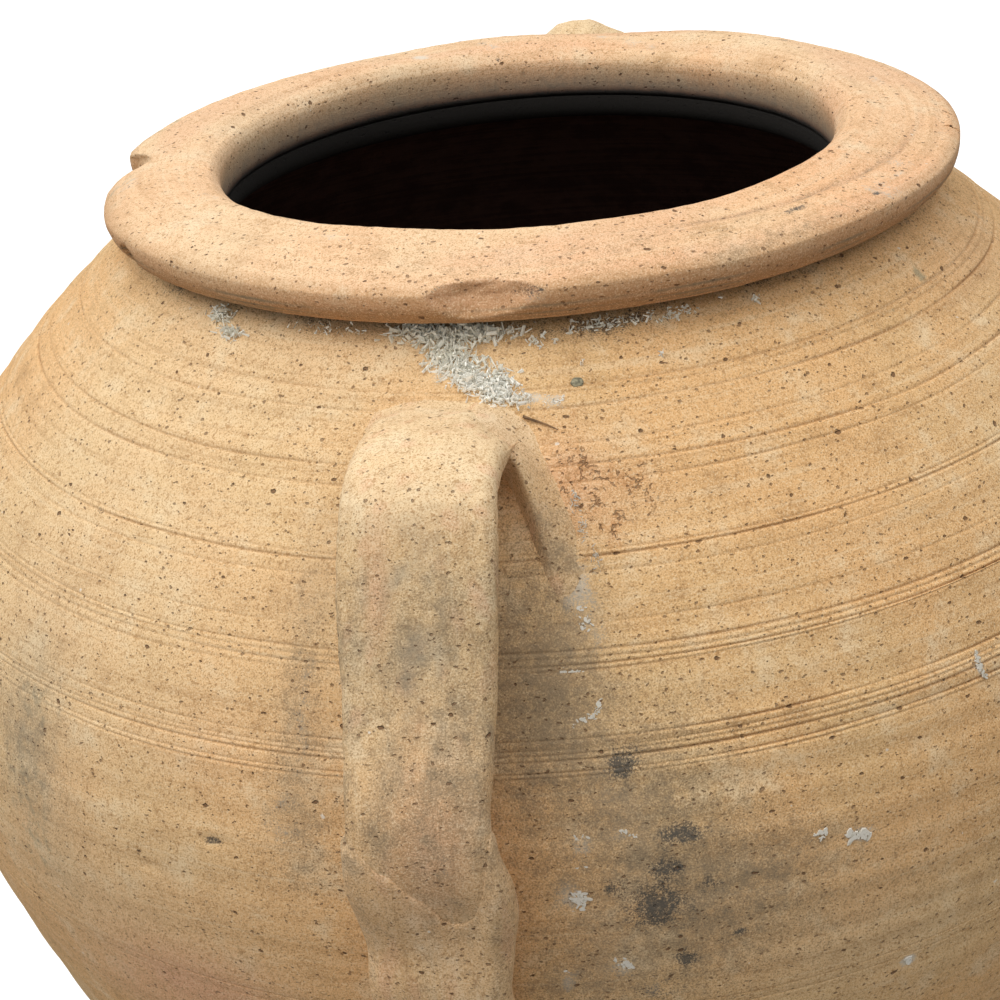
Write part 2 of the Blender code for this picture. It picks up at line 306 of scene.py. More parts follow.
def clayFinish(name, base, warm, pale, streaks, pitShare, streakDepth=0.08, grain=1.0):
    kit = Finish(name)
    tint, scale = clayTints, clayScales
    blotch = kit.noise(scale["blotch"], 3.0, 0.6)
    cloud = kit.noise(scale["cloud"], 3.0, 0.65)
    wiping = kit.noise(1.0, 2.0, 0.6, streaks(kit))
    sand = kit.noise(scale["sand"], 2.0, 0.6)
    peel = kit.noise(scale["peel"], 2.0, 0.65)
    flaky = kit.noise(scale["flaky"], 4.0, 0.7)
    shaken = kit.jitter(0.0016, 480.0)
    drawn = kit.stretch((1.0, 1.0, 1.7), shaken)  # pits drawn out along the wiping
    sootAndShade, film, bloomAndLight, blush, lichen, grimeAndShade, rust, inside, broken, ash = (kit.painted(mark) for mark in marks)
    pits = kit.dots(drawn, scale["pit"], broken * 0.9 + 1.1 * pitShare, 0.18)
    grit = kit.dots(drawn, scale["grit"], 1.7 * pitShare, 0.32)
    specks = kit.dots(shaken, scale["speck"], 0.05, 0.18)
    veins = kit.noise(scale["vein"], 3.0, 0.65) - 0.5
    ragged = flaky - 0.5
    fine = ragged * 0.9 + (peel - 0.5) * 0.9
    thin = kit.ramp(kit.node("ShaderNodeMath", {"operation": "ABSOLUTE"}, {0: veins}), 0.034, 0.008)
    crackle = thin * kit.ramp(broken, 0.24, 0.42) * kit.ramp(flaky, 0.50, 0.56)  # where the skin is broken
    dim = kit.mix(kit.ramp(cloud * 0.6 + wiping * 0.4, 0.40, 0.60), tint["inside"], tint["insideDark"])
    colour = kit.mix(kit.ramp(blotch, 0.38, 0.62), base, warm)
    for share, coat in [  # from the clay outwards
        (kit.ramp(cloud, 0.50, 0.74) * 0.60, pale),
        (kit.ramp(cloud, 0.46, 0.28) * 0.40, tint["dark"]),
        ((bloomAndLight * (cloud * 0.9 + 0.4)).within(), pale),
        (kit.ramp(wiping, 0.53, 0.74) * 0.30, tint["dark"]),
        (kit.ramp(wiping, 0.47, 0.26) * 0.30, pale),
        ((blush * (cloud * 0.8 + 0.5)).within(), tint["blush"]),
        (kit.ramp(broken + ragged * 1.2, 0.30, 0.80) * 0.8, tint["raw"]),
        ((rust * (wiping * 0.8 + 0.55)).within(), tint["rust"]),
        (kit.ramp(flaky, 0.53, 0.70) * 0.25, tint["dark"]),
        (kit.ramp(sand, 0.55, 0.70) * (0.60 * grain), tint["dark"]),
        (kit.ramp(peel, 0.51, 0.68) * (0.78 * grain), tint["dark"]),
        (kit.ramp(peel, 0.48, 0.33) * (0.56 * grain), pale),
        (kit.ramp(film + fine * 1.4, 0.45, 0.85) * 0.75, tint["film"]),
        (kit.ramp(lichen + ragged * 1.2, 0.38, 0.85) * 0.70, tint["lichen"]),
        (kit.ramp(grimeAndShade + fine, 0.10, 0.95) * kit.ramp(grimeAndShade, 0.0, 0.22), tint["grimeAndShade"]),
        ((ash * (flaky * 1.2 + 0.4)).within() * 0.8, tint["ash"]),
        (specks * 0.7, tint["lime"]),
        # pits, grit and cracks are darkened: dirt in them, and painted shade in the hollows
        (pits.most(grit * 0.75).most(crackle * 0.7) * 0.88, tint["pit"]),
        (inside, dim),
        (kit.ramp(sootAndShade + fine * 1.4, 0.32, 0.85) * 0.88, tint["sootAndShade"]),
        (inside * sootAndShade, tint["shadeBlack"]),  # painted shade: blackest under the rim
    ]:
        colour = kit.mix(share, colour, coat)
    height = sand * 0.16 + peel * (broken * 0.4 + 0.22) + wiping * streakDepth
    height = height - pits * 0.8 - grit * 0.40 - crackle * 0.4
    kit.shade(Base_Color=colour, Roughness=0.94 - film * 0.15, Normal=kit.bump(height))
    kit.shader.inputs["Specular IOR Level"].default_value = 0.22
    return kit.material


def levelStreaks(kit):  # wiped round the wall
    return kit.stretch((9.0, 9.0, 620.0))


def ringStreaks(kit):  # wiped round the rim, on its top as well as its sides
    flat = kit.stretch((1.0, 1.0, 0.0))
    radius = kit.node("ShaderNodeVectorMath", {"operation": "LENGTH"}, {0: flat}, "Value")
    height = kit.node("ShaderNodeSeparateXYZ", {}, {0: kit.place}, 2)
    level = radius * 520.0 + height * 420.0
    upward = kit.node("ShaderNodeCombineXYZ", {}, {2: level})
    settings = {"operation": "MULTIPLY_ADD"}
    return kit.node("ShaderNodeVectorMath", settings, {0: flat, 1: (9.0,) * 3, 2: upward})


def strapStreaks(kit):  # wiped along the strap
    return kit.stretch((420.0, 90.0, 10.0))


clays = {  # base, warm and pale colour, wiping, share of pits, and for the rim depth of the wiping and grain
    "body_clay": ((0.76, 0.500, 0.240), (0.79, 0.475, 0.215), (0.88, 0.700, 0.45), levelStreaks, 0.72),
    "rim_clay": ((0.80, 0.548, 0.320), (0.83, 0.478, 0.255), (0.87, 0.695, 0.47), ringStreaks, 0.70,
                 0.16, 0.85),
    "strap_clay": ((0.75, 0.520, 0.275), (0.77, 0.495, 0.245), (0.88, 0.720, 0.48), strapStreaks, 0.72),
    "luting_clay": ((0.76, 0.525, 0.280), (0.77, 0.490, 0.245), (0.87, 0.685, 0.46), strapStreaks, 0.66),
}
bodyClay, rimClay, strapClay, luteClay = (clayFinish(name, *spec) for name, spec in clays.items())


def crystalFinish():
    kit = Finish("salt_crust")
    cloud = kit.noise(210.0, 2.0)
    fleck = kit.noise(900.0, 1.0)
    height = kit.node("ShaderNodeSeparateXYZ", {}, {0: kit.place}, 2)
    grey = kit.ramp(height + cloud * 0.010, 0.509, 0.518)  # greyer towards the rim
    colour = kit.mix(grey, (0.95, 0.94, 0.87), (0.86, 0.84, 0.73))
    dull = kit.ramp(height, 0.493, 0.486)  # the scales down the wall
    colour = kit.mix(dull, colour, (0.70, 0.66, 0.57))
    colour = kit.mix(kit.ramp(fleck, 0.54, 0.66) * 0.55, colour, (0.40, 0.36, 0.26))
    kit.shade(Base_Color=colour, Roughness=0.22)
    return kit.material


saltWhite = crystalFinish()


def grainFinish(name, light, dark, scale):  # small stray bits: straw and pebble
    kit = Finish(name)
    streak = kit.noise(1.0, 2.0, 0.6, kit.stretch(scale))
    kit.shade(Base_Color=kit.mix(kit.ramp(streak, 0.38, 0.64), light, dark), Roughness=0.85,
              Normal=kit.bump(streak, 0.0003))
    return kit.material


strawBrown = grainFinish("straw", (0.30, 0.18, 0.09), (0.12, 0.07, 0.035), (300.0, 300.0, 1500.0))
pebbleGrey = grainFinish("pebble", (0.36, 0.33, 0.22), (0.15, 0.14, 0.09), (900.0, 900.0, 900.0))
print("clay finishes made")


# wall courses
incisedLines = [  # height, drift round the jar, depth, all in mm, and lean of the depth to the right
    (501.6, 0.0, 0.26, 0.5), (500.2, 0.0, 0.10, 0.8), (497.3, 0.0, 0.34, 0.3), (489.8, 0.0, 0.14, 0.9),
    (485.4, -1.3, 0.36, 0.3), (481.4, -0.7, 0.26, -0.5), (466.7, 0.0, 0.20, 0.0), (465.5, 0.0, 0.46, 0.4),
    (461.9, 0.0, 0.14, 0.0), (450.7, 0.0, 0.12, 0.2), (444.8, -1.1, 0.28, 0.7), (443.4, -1.3, 0.14, 0.2),
    (441.7, -1.2, 0.32, 0.7),
    (440.2, 0.0, 0.12, 0.0), (423.8, 0.0, 0.28, 1.4), (421.5, 0.0, 0.18, 0.9), (420.2, 0.0, 0.13, 0.0),
    (418.7, 0.0, 0.38, 0.6), (415.6, 0.0, 0.26, 0.9), (414.2, 0.0, 0.16, 0.0), (338.0, 0.6, 0.18, 0.0),
    (334.6, 0.4, 0.24, 0.0), (262.0, -0.8, 0.20, 0.0), (259.2, -0.8, 0.26, 0.0),
]
lineRows = (-0.90, -0.55, -0.34, -0.16, 0.0, 0.16, 0.34, 0.55, 0.90)  # mm from each line
wallDents = [  # bearing, height, half width in degrees, half height, depth in mm
    (-18.1, 0.3906, 1.1, 0.0016, 1.1), (-24.5, 0.3765, 0.9, 0.0016, 0.6), (150.0, 0.40, 3.0, 0.006, 0.7),
    (95.0, 0.33, 2.4, 0.005, 0.6), (-120.0, 0.36, 2.8, 0.007, 0.7), (-150.0, 0.28, 2.2, 0.006, 0.6),
    (60.0, 0.22, 3.0, 0.007, 0.6), (-75.0, 0.19, 3.4, 0.006, 0.6), (10.0, 0.16, 3.4, 0.008, 0.6),
]
neckLip = [  # radius and depth under the rim's seat, of the clay smeared down inside the mouth
    (0.1205, 0.0090), (0.1130, 0.0095), (0.1090, 0.0090), (0.1064, 0.0074), (0.1052, 0.0050), (0.1047, 0.0024),
    (0.1046, 0.0),
]
courses = {  # piece: CAD node, lower and upper seam, steps round, plain rows' spacing
    "jar_shoulder": ("shoulder_wall", 0.4165, 0.5165, 512, 0.0030),
    "jar_belly": ("belly_wall", 0.3175, 0.4165, 512, 0.0012),
    "jar_flank": ("flank_wall", 0.2137, 0.3175, 512, 0.0022),
    "jar_lower": ("lower_wall", 0.1098, 0.2137, 256, 0.0024),
    "jar_foot": ("foot_wall", 0.0060, 0.1098, 256, 0.0026),
}
stains = {  # bearing, height, half width in degrees, half height, strength
    "sootAndShade": [
        (13.0, 0.4165, 1.3, 0.0050, 1.0), (16.7, 0.396, 1.9, 0.0036, 0.90), (15.2, 0.3865, 1.2, 0.0036, 0.85),
        (14.4, 0.375, 2.4, 0.0082, 0.92), (11.6, 0.382, 0.8, 0.0020, 0.8), (16.2, 0.3555, 0.8, 0.0032, 0.95),
        (18.5, 0.380, 0.9, 0.0022, 0.85), (20.2, 0.362, 0.7, 0.0018, 0.85), (14.5, 0.345, 2.0, 0.0055, 0.5),
        (-18.1, 0.3906, 1.0, 0.0014, 0.95), (-37.0, 0.4655, 0.7, 0.0012, 0.6),
        (17.5, 0.5126, 7.5, 0.0021, 0.85),
        (13.2, 0.5022, 0.8, 0.0016, 0.6), (116.0, 0.388, 1.6, 0.004, 0.8), (-98.0, 0.41, 1.2, 0.003, 0.8),
        (168.0, 0.392, 2.4, 0.006, 0.8), (-150.0, 0.34, 1.8, 0.005, 0.8), (100.0, 0.26, 3.0, 0.006, 0.7),
    ],
    "film": [
        (8.5, 0.380, 1.4, 0.006, 0.75), (29.6, 0.384, 1.4, 0.0026, 1.0), (34.0, 0.332, 0.9, 0.003, 0.95),
        (42.2, 0.4185, 0.6, 0.0042, 1.0), (11.7, 0.355, 1.2, 0.005, 0.8), (7.9, 0.3513, 0.8, 0.006, 0.8),
        (9.6, 0.3945, 1.0, 0.005, 0.75), (14.0, 0.346, 1.2, 0.005, 0.6), (26.5, 0.388, 0.9, 0.003, 0.6),
        (11.0, 0.4580, 0.9, 0.0030, 0.8), (10.2, 0.4550, 0.7, 0.0024, 0.7), (11.4, 0.460, 1.6, 0.011, 0.52),
        (12.3, 0.447, 1.2, 0.008, 0.50), (11.5, 0.410, 1.6, 0.010, 0.48), (12.4, 0.3975, 0.9, 0.0030, 0.7),
        (3.8, 0.5019, 2.6, 0.0034, 0.75), (-1.8, 0.5060, 2.4, 0.0034, 0.70), (-2.0, 0.5120, 7.5, 0.0026, 0.70),
        (8.0, 0.4995, 2.0, 0.0018, 0.8), (10.6, 0.4986, 1.6, 0.0014, 0.8), (-35.2, 0.5121, 2.2, 0.0018, 0.85),
        (-31.6, 0.5089, 2.4, 0.0016, 0.8), (-12.5, 0.398, 1.6, 0.016, 0.45), (-11.0, 0.43, 1.2, 0.024, 0.5),
        (150.0, 0.47, 8.0, 0.01, 0.55), (-105.0, 0.45, 6.0, 0.012, 0.55), (100.0, 0.37, 4.0, 0.01, 0.65),
        (-60.0, 0.30, 6.0, 0.02, 0.45), (70.0, 0.14, 8.0, 0.02, 0.55), (-130.0, 0.18, 8.0, 0.02, 0.55),
    ],
    "blush": [
        (-22.5, 0.333, 8.0, 0.016, 0.95), (-28.0, 0.316, 9.0, 0.014, 0.5), (10.5, 0.483, 4.0, 0.012, 0.45),
        (14.0, 0.478, 6.0, 0.010, 0.25), (-20.0, 0.418, 7.0, 0.01, 0.15), (140.0, 0.31, 16.0, 0.03, 0.5),
        (-110.0, 0.26, 16.0, 0.03, 0.5), (60.0, 0.28, 10.0, 0.02, 0.3), (75.0, 0.50, 12.0, 0.008, 0.25),
    ],
    "bloomAndLight": [
        (-30.0, 0.355, 14.0, 0.030, 0.35), (30.0, 0.345, 13.0, 0.020, 0.35), (-38.0, 0.455, 26.0, 0.075, 0.50),
        (-20.0, 0.505, 22.0, 0.020, 0.35), (70.0, 0.44, 14.0, 0.05, 0.25),
        (160.0, 0.43, 30.0, 0.05, 0.35), (-120.0, 0.30, 30.0, 0.06, 0.35), (100.0, 0.16, 30.0, 0.05, 0.35),
    ],
    "lichen": [
        (-36.9, 0.4142, 4.0, 0.008, 0.55), (-37.6, 0.3632, 4.0, 0.026, 0.45), (-38.5, 0.392, 4.0, 0.018, 0.42),
        (62.3, 0.5035, 1.5, 0.0024, 0.9), (54.3, 0.5004, 0.6, 0.0010, 0.8), (120.0, 0.43, 9.0, 0.02, 0.5),
        (-140.0, 0.38, 10.0, 0.02, 0.5), (-90.0, 0.17, 14.0, 0.03, 0.5), (40.0, 0.09, 20.0, 0.03, 0.5),
    ],
    # brown dirt; the first three spots, beside and under the front strap, are painted shade as well
    "grimeAndShade": [
        (14.5, 0.398, 8.0, 0.040, 0.62), (8.0, 0.435, 4.2, 0.026, 0.60), (1.0, 0.445, 7.0, 0.040, 0.55),
        (-11.5, 0.43, 2.4, 0.032, 0.45), (-10.5, 0.392, 3.0, 0.022, 0.32), (24.0, 0.385, 6.5, 0.012, 0.30),
        (19.0, 0.372, 7.0, 0.020, 0.35), (26.0, 0.362, 16.0, 0.024, 0.20), (-20.0, 0.388, 14.0, 0.012, 0.10),
        (10.5, 0.345, 9.0, 0.022, 0.35), (-38.0, 0.400, 5.0, 0.030, 0.50), (130.0, 0.42, 14.0, 0.03, 0.4),
        (178.0, 0.36, 9.0, 0.06, 0.5), (-140.0, 0.37, 16.0, 0.03, 0.35), (88.0, 0.24, 16.0, 0.04, 0.35),
        (-80.0, 0.16, 20.0, 0.04, 0.35), (-170.0, 0.10, 24.0, 0.05, 0.4), (30.0, 0.10, 25.0, 0.05, 0.35),
    ],
    "ash": [
        (-38.5, 0.405, 5.5, 0.034, 0.65), (-36.0, 0.372, 4.0, 0.028, 0.40), (-11.5, 0.457, 2.6, 0.016, 0.50),
        (-10.8, 0.408, 2.4, 0.022, 0.45), (11.0, 0.452, 2.2, 0.012, 0.45), (13.0, 0.405, 1.6, 0.016, 0.40),
        (10.0, 0.360, 3.0, 0.020, 0.40), (22.0, 0.370, 9.0, 0.016, 0.30), (-1.0, 0.5100, 7.0, 0.0050, 0.45),
        (130.0, 0.42, 14.0, 0.03, 0.40), (178.0, 0.36, 9.0, 0.05, 0.40), (-140.0, 0.37, 16.0, 0.03, 0.35),
        (-95.0, 0.30, 12.0, 0.05, 0.35), (60.0, 0.20, 16.0, 0.05, 0.35),
    ],
    "broken": [
        (11.6, 0.4815, 2.4, 0.011, 0.55), (14.5, 0.4700, 1.6, 0.006, 0.5), (16.5, 0.4830, 4.0, 0.008, 0.35),
        (12.0, 0.4960, 2.5, 0.003, 0.35),
        (19.0, 0.4750, 4.0, 0.010, 0.28), (-160.0, 0.44, 3.0, 0.008, 0.5),
    ],
}


wallWear = {  # in mm
    "ripple": 0.16, "ripplePitch": 10.5, "swell": 0.14, "swellPitch": 23.0, "lumps": 0.30, "press": 0.85,
    "cutWidth": 0.27, "lipOffset": 0.80, "lipWidth": 0.40, "lowerLip": 0.40, "upperLip": 0.24,
    "innerRipple": 0.35, "innerPitch": 17.0,
}


def wallRelief(bearing, z):  # mm out from the plain outline, and how much dirt and painted shade lie in the lines
    ring = ringOf(bearing)
    mm = z * 1000
    wear = wallWear
    swirl = np.column_stack([ring * 0.5, z * 9])
    relief = wear["ripple"] * np.sin(tau * mm / wear["ripplePitch"] + 1.4 * waver(ring, 2.0, 11))
    relief *= 0.6 + 0.4 * waver(swirl, 0.9, 12)
    relief += wear["swell"] * np.sin(tau * mm / wear["swellPitch"] + 2.1 + 1.2 * waver(ring, 2.4, 13))
    ends = ease(z, 0.0, 0.02) * ease(z, jar["seat"], 0.50)  # none at the foot and under the rim
    relief += wear["lumps"] * waver(np.column_stack([ring, z * 4]), 1.5, 14) * ends
    grooveDirtAndShade = np.zeros_like(z)
    for i, (height, _, depth, lean) in enumerate(incisedLines):
        near = np.abs(mm - height) < 3
        uneven = 1 + 0.28 * waver(ring[near], 0.35, 40 + i)
        press = wear["press"] * depth * np.clip(1 + lean * ring[near, 0], 0.12, 2.2) * uneven
        away = mm[near] - height
        groove = bell(away, 0, wear["cutWidth"])
        lips = wear["lowerLip"] * bell(away, -wear["lipOffset"], wear["lipWidth"])
        lips += wear["upperLip"] * bell(away, wear["lipOffset"], wear["lipWidth"])
        relief[near] -= press * (groove - lips)
        grooveDirtAndShade[near] += 1.1 * press * groove
    degrees = np.degrees(bearing)
    for where, height, wide, high, depth in wallDents:
        relief -= depth * spot(degrees, z, where, height, wide, high)
    return relief, grooveDirtAndShade


def lineDrift(bearing, z):  # how far the rows climb with the lines, none at the seams
    ring = ringOf(bearing)
    seams = sorted({edge for course in courses.values() for edge in course[1:3]})
    cuts = [(height / 1000, i) for i, (height, *_) in enumerate(incisedLines)]
    stops = sorted(cuts + [(seam, -1) for seam in seams])
    climb = np.zeros((len(stops), len(z)))
    for row, (height, i) in enumerate(stops):
        if i >= 0:
            climb[row] = (incisedLines[i][1] * ring[:, 0] + 0.12 * waver(ring, 0.5, 80 + i)) / 1000
    heights = np.array([stop[0] for stop in stops])
    upper = np.clip(np.searchsorted(heights, z), 1, len(heights) - 1)
    share = np.clip((z - heights[upper - 1]) / (heights[upper] - heights[upper - 1]), 0, 1)
    column = np.arange(len(z))
    return climb[upper - 1, column] * (1 - share) + climb[upper, column] * share


def stainAt(kind, bearing, z):
    degrees = np.degrees(bearing)
    clear = np.ones_like(z)
    for where, height, wide, high, strength in stains.get(kind, ()):
        clear *= 1 - strength * spot(degrees, z, where, height, wide, high)
    return 1 - clear


def rowHeights(low, high, spacing):  # close rows at each incised line
    rows = list(np.linspace(low, high, round((high - low) / spacing) + 1))
    cuts = [(height + step) / 1000 for height, *_ in incisedLines for step in lineRows]
    rows = [z for z in rows if min(abs(z - cut) for cut in cuts) > 0.0004]
    kept = [low]
    for z in sorted(rows + cuts):
        if z - kept[-1] > 0.00014 and high - z > 0.00014:
            kept.append(z)
    return np.array(kept + [high])


def turn(outline, steps, closed=True):  # a profile turned about Z: eight steps are spun, then doubled up
    bm = bmesh.new()
    points = [bm.verts.new((radius, 0, height)) for radius, height in outline]
    edges = [bm.edges.new(pair) for pair in zip(points, points[1:])]
    if closed:
        edges.append(bm.edges.new((points[-1], points[0])))
    done = 8
    spun = tau * done / steps
    bmesh.ops.spin(bm, geom=points + edges, cent=(0, 0, 0), axis=(0, 0, 1), angle=spun, steps=done)
    while done < steps:
        copied = bmesh.ops.duplicate(bm, geom=bm.verts[:] + bm.edges[:] + bm.faces[:])["geom"]
        verts = [part for part in copied if isinstance(part, bmesh.types.BMVert)]
        bmesh.ops.rotate(bm, cent=(0, 0, 0), matrix=Matrix.Rotation(tau * done / steps, 3, "Z"), verts=verts)
        done *= 2
    bmesh.ops.remove_doubles(bm, verts=bm.verts, dist=0.00001)
    bmesh.ops.recalc_face_normals(bm, faces=bm.faces)
    return bm


def makeCourse(name, node, low, high, steps, spacing):
    outside = skin(rowHeights(low, high, spacing))
    heights = np.linspace(low, high, 9)
    if high == jar["seat"]:  # the top course ends level, under the rim
        tryOut = np.linspace(high, high + 0.014, 200)
        heights[-1] = np.interp(high, skin(tryOut, -jar["wall"])[:, 1], tryOut)
        heights[:-1] = np.linspace(low, heights[-1], 9)[:-1]
    inside = skin(heights, -jar["wall"])
    if high == jar["seat"]:
        inside = np.vstack([inside[:-1], [(radius, high - deep) for radius, deep in neckLip]])
    piece = finishPiece(name, turn(np.vstack([outside, inside[::-1]]), steps), bodyClay, [node])
    mesh = piece.data
    co = pointsOf(mesh)
    bearing, z = bearingOf(co), co[:, 2]
    outer = outerRadius(z) - np.hypot(co[:, 0], co[:, 1]) < jar["wall"] / 4
    relief, grooveDirtAndShade = wallRelief(bearing, z)
    climbed = z + np.where(outer, lineDrift(bearing, z), 0)
    across, up = wallNormal(climbed)
    inner = wallWear["innerRipple"] * np.sin(tau * z * 1000 / wallWear["innerPitch"]) * (z < 0.500)
    push = np.where(outer, relief, inner) / 1000
    reach = np.where(outer, outerRadius(climbed), np.hypot(co[:, 0], co[:, 1])) + across * push
    setPoints(mesh, np.stack([np.sin(bearing) * reach, -np.cos(bearing) * reach, climbed + up * push], 1))
    # painted shadow in a band under the rim's overhang, uneven round the jar
    eaves = ease(z, *jar["eaves"]) * np.clip(0.45 + 0.3 * waver(ringOf(bearing), 0.25, 5), 0, 1)
    degrees = np.degrees(bearing)
    shadeBearing = degrees + 3.2 * ease(z, 0.414, 0.392) + 0.5 * waver(co, 0.02, 6)  # painted shade beside the strap, where the strap shades the wall
    shade = (0.12 - 0.02 * ease(z, 0.412, 0.392)) * ease(degrees, 3, 6) * ease(shadeBearing, 13.9, 11.9)
    shade *= ease(z, 0.474, 0.458) * ease(z, 0.32, 0.35)
    coats = {kind: np.where(outer, stainAt(kind, bearing, z), 0) for kind in marks}
    # outside, the painted shadow under the rim goes into the soot mark; inside, the lip is painted black as
    # shade
    coats["sootAndShade"] = np.where(outer, 1 - (1 - coats["sootAndShade"]) * (1 - 0.8 * eaves), ease(z, *jar["lip"]))
    # the painted shade beside the strap is laid into the grime mark
    coats["grimeAndShade"] = np.where(outer, 1 - (1 - coats["grimeAndShade"]) * (1 - shade), 0)
    coats["rust"] = np.where(outer, np.clip(1.3 * grooveDirtAndShade, 0, 0.8), 0)
    coats["inside"] = ~outer
    coats["ash"] *= 0.5
    paintAll(mesh, coats)
    print(name, len(mesh.polygons) * 2, "triangles")


for name, course in courses.items():
    makeCourse(name, *course)


def makeFloor():  # foot disc with a slightly hollow, string-cut underside
    edge = [skin(np.float64(z)) for z in (jar["footEdge"], 0.0045, 0.003, jar["footChamfer"])]
    rest = jar["footRadius"] - jar["footChamfer"]
    under = [(rest * share, 0.0 if share > 0.62 else 0.0009 * (1 - (share / 0.62) ** 2)) for share in
             np.linspace(1, 0, 60)]
    top = [(radius, jar["floor"] + 0.0004 * math.sin(radius * 420)) for radius in np.linspace(0, 0.0765, 24)]
    bm = turn(top + edge + under, 256, False)
    piece = finishPiece("jar_floor", bm, bodyClay, ["floor_disc"])
    mesh = piece.data
    co = pointsOf(mesh)
    radius = np.hypot(co[:, 0], co[:, 1])
    below = (co[:, 2] < 0.0012) & (radius < 0.056)
    swirl = 0.00022 * np.sin(tau * (co[:, 0] * 0.9 + 3.0 * co[:, 1] ** 2 + 0.012) / 0.0052)
    co[:, 2] += np.where(below & (co[:, 2] > 0.0004), swirl * ease(radius, 0.056, 0.04), 0)
    setPoints(mesh, co)
    paintAll(mesh, {
        "grimeAndShade": 0.6 * ease(waver(co, 0.06, 74), 0.0, 1.6),
        "blush": 0.3 * ease(waver(co, 0.06, 75), 0.3, 1.6),
        "inside": co[:, 2] > 0.010,
    })


makeFloor()
print("walls turned")


# rim
rim = {
    "outer": 0.145, "mouth": 0.104, "thick": 0.0213, "edgeHeight": 0.0122, "fall": 0.0050, "points": 84,
    "outerSquare": 2.15, "underSquare": 2.7, "mouthSquare": 2.2, "throatSquare": 12.0, "steps": 1024,
    "spiralStart": 0.1215, "spiralClimb": 0.000116, "spiralWidth": 0.0011, "spiralDepth": 0.0004,
    "lumps": 0.030, "nearBearing": 30, "nearRadius": 0.1125, "nearSpread": 0.0060, "nearLift": 0.0022,
}
rimChips = [  # bearing, out from the edge, up from the seat, half lengths round, out and up
    (-53.5, 0.0030, 0.0035, (0.0105, 0.0080, 0.0085)), (72.0, 0.0020, 0.0155, (0.0040, 0.0030, 0.0025)),
    (88.7, -0.0010, 0.0155, (0.0013, 0.0042, 0.0026)), (118.0, 0.0030, 0.0120, (0.0090, 0.0055, 0.0050)),
    (165.0, 0.0030, 0.0150, (0.0120, 0.0050, 0.0045)), (-150.0, 0.0030, 0.0060, (0.0080, 0.0050, 0.0060)),
]
rimFlake = {"bearing": 2.2, "left": 5.0, "right": 7.6, "top": (0.1376, 0.0161), "foot": (0.1432, 0.0016),
            "depth": 0.0046}
rimGrooves = [(0.0036, 0.24), (0.0052, 0.30), (0.0078, 0.16)]  # height over the seat, depth in mm
rimMarks = [  # kind, bearing, radius, half width in degrees, half breadth, strength
    ("sootAndShade", 46.0, 0.1325, 2.6, 0.0016, 0.85), ("sootAndShade", 58.3, 0.1399, 0.9, 0.0012, 0.8),
    ("sootAndShade", 42.0, 0.1300, 1.2, 0.0010, 0.7),
    ("film", -151.0, 0.1120, 2.4, 0.0030, 0.9), ("film", 66.0, 0.1370, 2.5, 0.0016, 0.8),
    ("film", 30.0, 0.1280, 3.0, 0.0016, 0.6),
    ("film", -20.0, 0.1200, 5.0, 0.0030, 0.5), ("sootAndShade", -166.0, 0.1060, 0.7, 0.0010, 0.8),
    ("film", 110.0, 0.125, 4.0, 0.003, 0.6),
    # the bloom at 120 degrees is painted light that brightens the far right of the rim
    ("sootAndShade", 140.0, 0.128, 2.0, 0.002, 0.7), ("bloomAndLight", 120.0, 0.125, 50.0, 0.020, 0.5),
    ("grimeAndShade", 38.0, 0.1425, 20.0, 0.006, 0.42), ("grimeAndShade", 18.0, 0.1320, 55.0, 0.0130, 0.24),
    ("lichen", 50.0, 0.143, 9.0, 0.002, 0.4), ("lichen", -120.0, 0.14, 8.0, 0.003, 0.5),
    ("blush", 20.0, 0.1400, 30.0, 0.0040, 0.45), ("blush", 60.0, 0.1410, 20.0, 0.0035, 0.45),
    ("blush", -160.0, 0.112, 50.0, 0.004, 0.5),
]
coilEnd = {"edge": -91.2, "throat": -72.0, "start": -52.0, "droop": 0.34}
coilInset = [  # degrees past the joint of the coil's two ends, and how far the outer edge draws in there
    (-20.0, 0.0), (-8.0, 0.0003), (-3.0, 0.0010), (-0.8, 0.0024), (-0.3, 0.0050), (0.1, 0.0064),
    (1.5, 0.0046), (3.3, 0.0028), (5.6, 0.0013), (10.5, 0.0006), (18.0, 0.0010), (28.0, 0.0010), (38.0, 0.0),
]


def rimOutline():
    halfWidth = (rim["outer"] - rim["mouth"]) / 2
    crown = rim["thick"] - rim["edgeHeight"]
    angle = math.pi / 2 - tau * (np.arange(rim["points"]) + 0.5) / rim["points"]
    across, up = np.cos(angle), np.sin(angle)
    square = np.where(across > 0, np.where(up > 0, rim["outerSquare"], rim["underSquare"]),
                      np.where(up > 0, rim["mouthSquare"], rim["throatSquare"]))
    across = np.sign(across) * np.abs(across) ** (2 / square)
    up = np.sign(up) * np.abs(up) ** (2 / square)
    rise = np.where(up > 0, up * (crown - rim["fall"] * (across + 1) / 2), up * rim["edgeHeight"])
    return np.stack([rim["mouth"] + halfWidth * (1 + across), jar["seat"] + rim["edgeHeight"] + rise], 1)


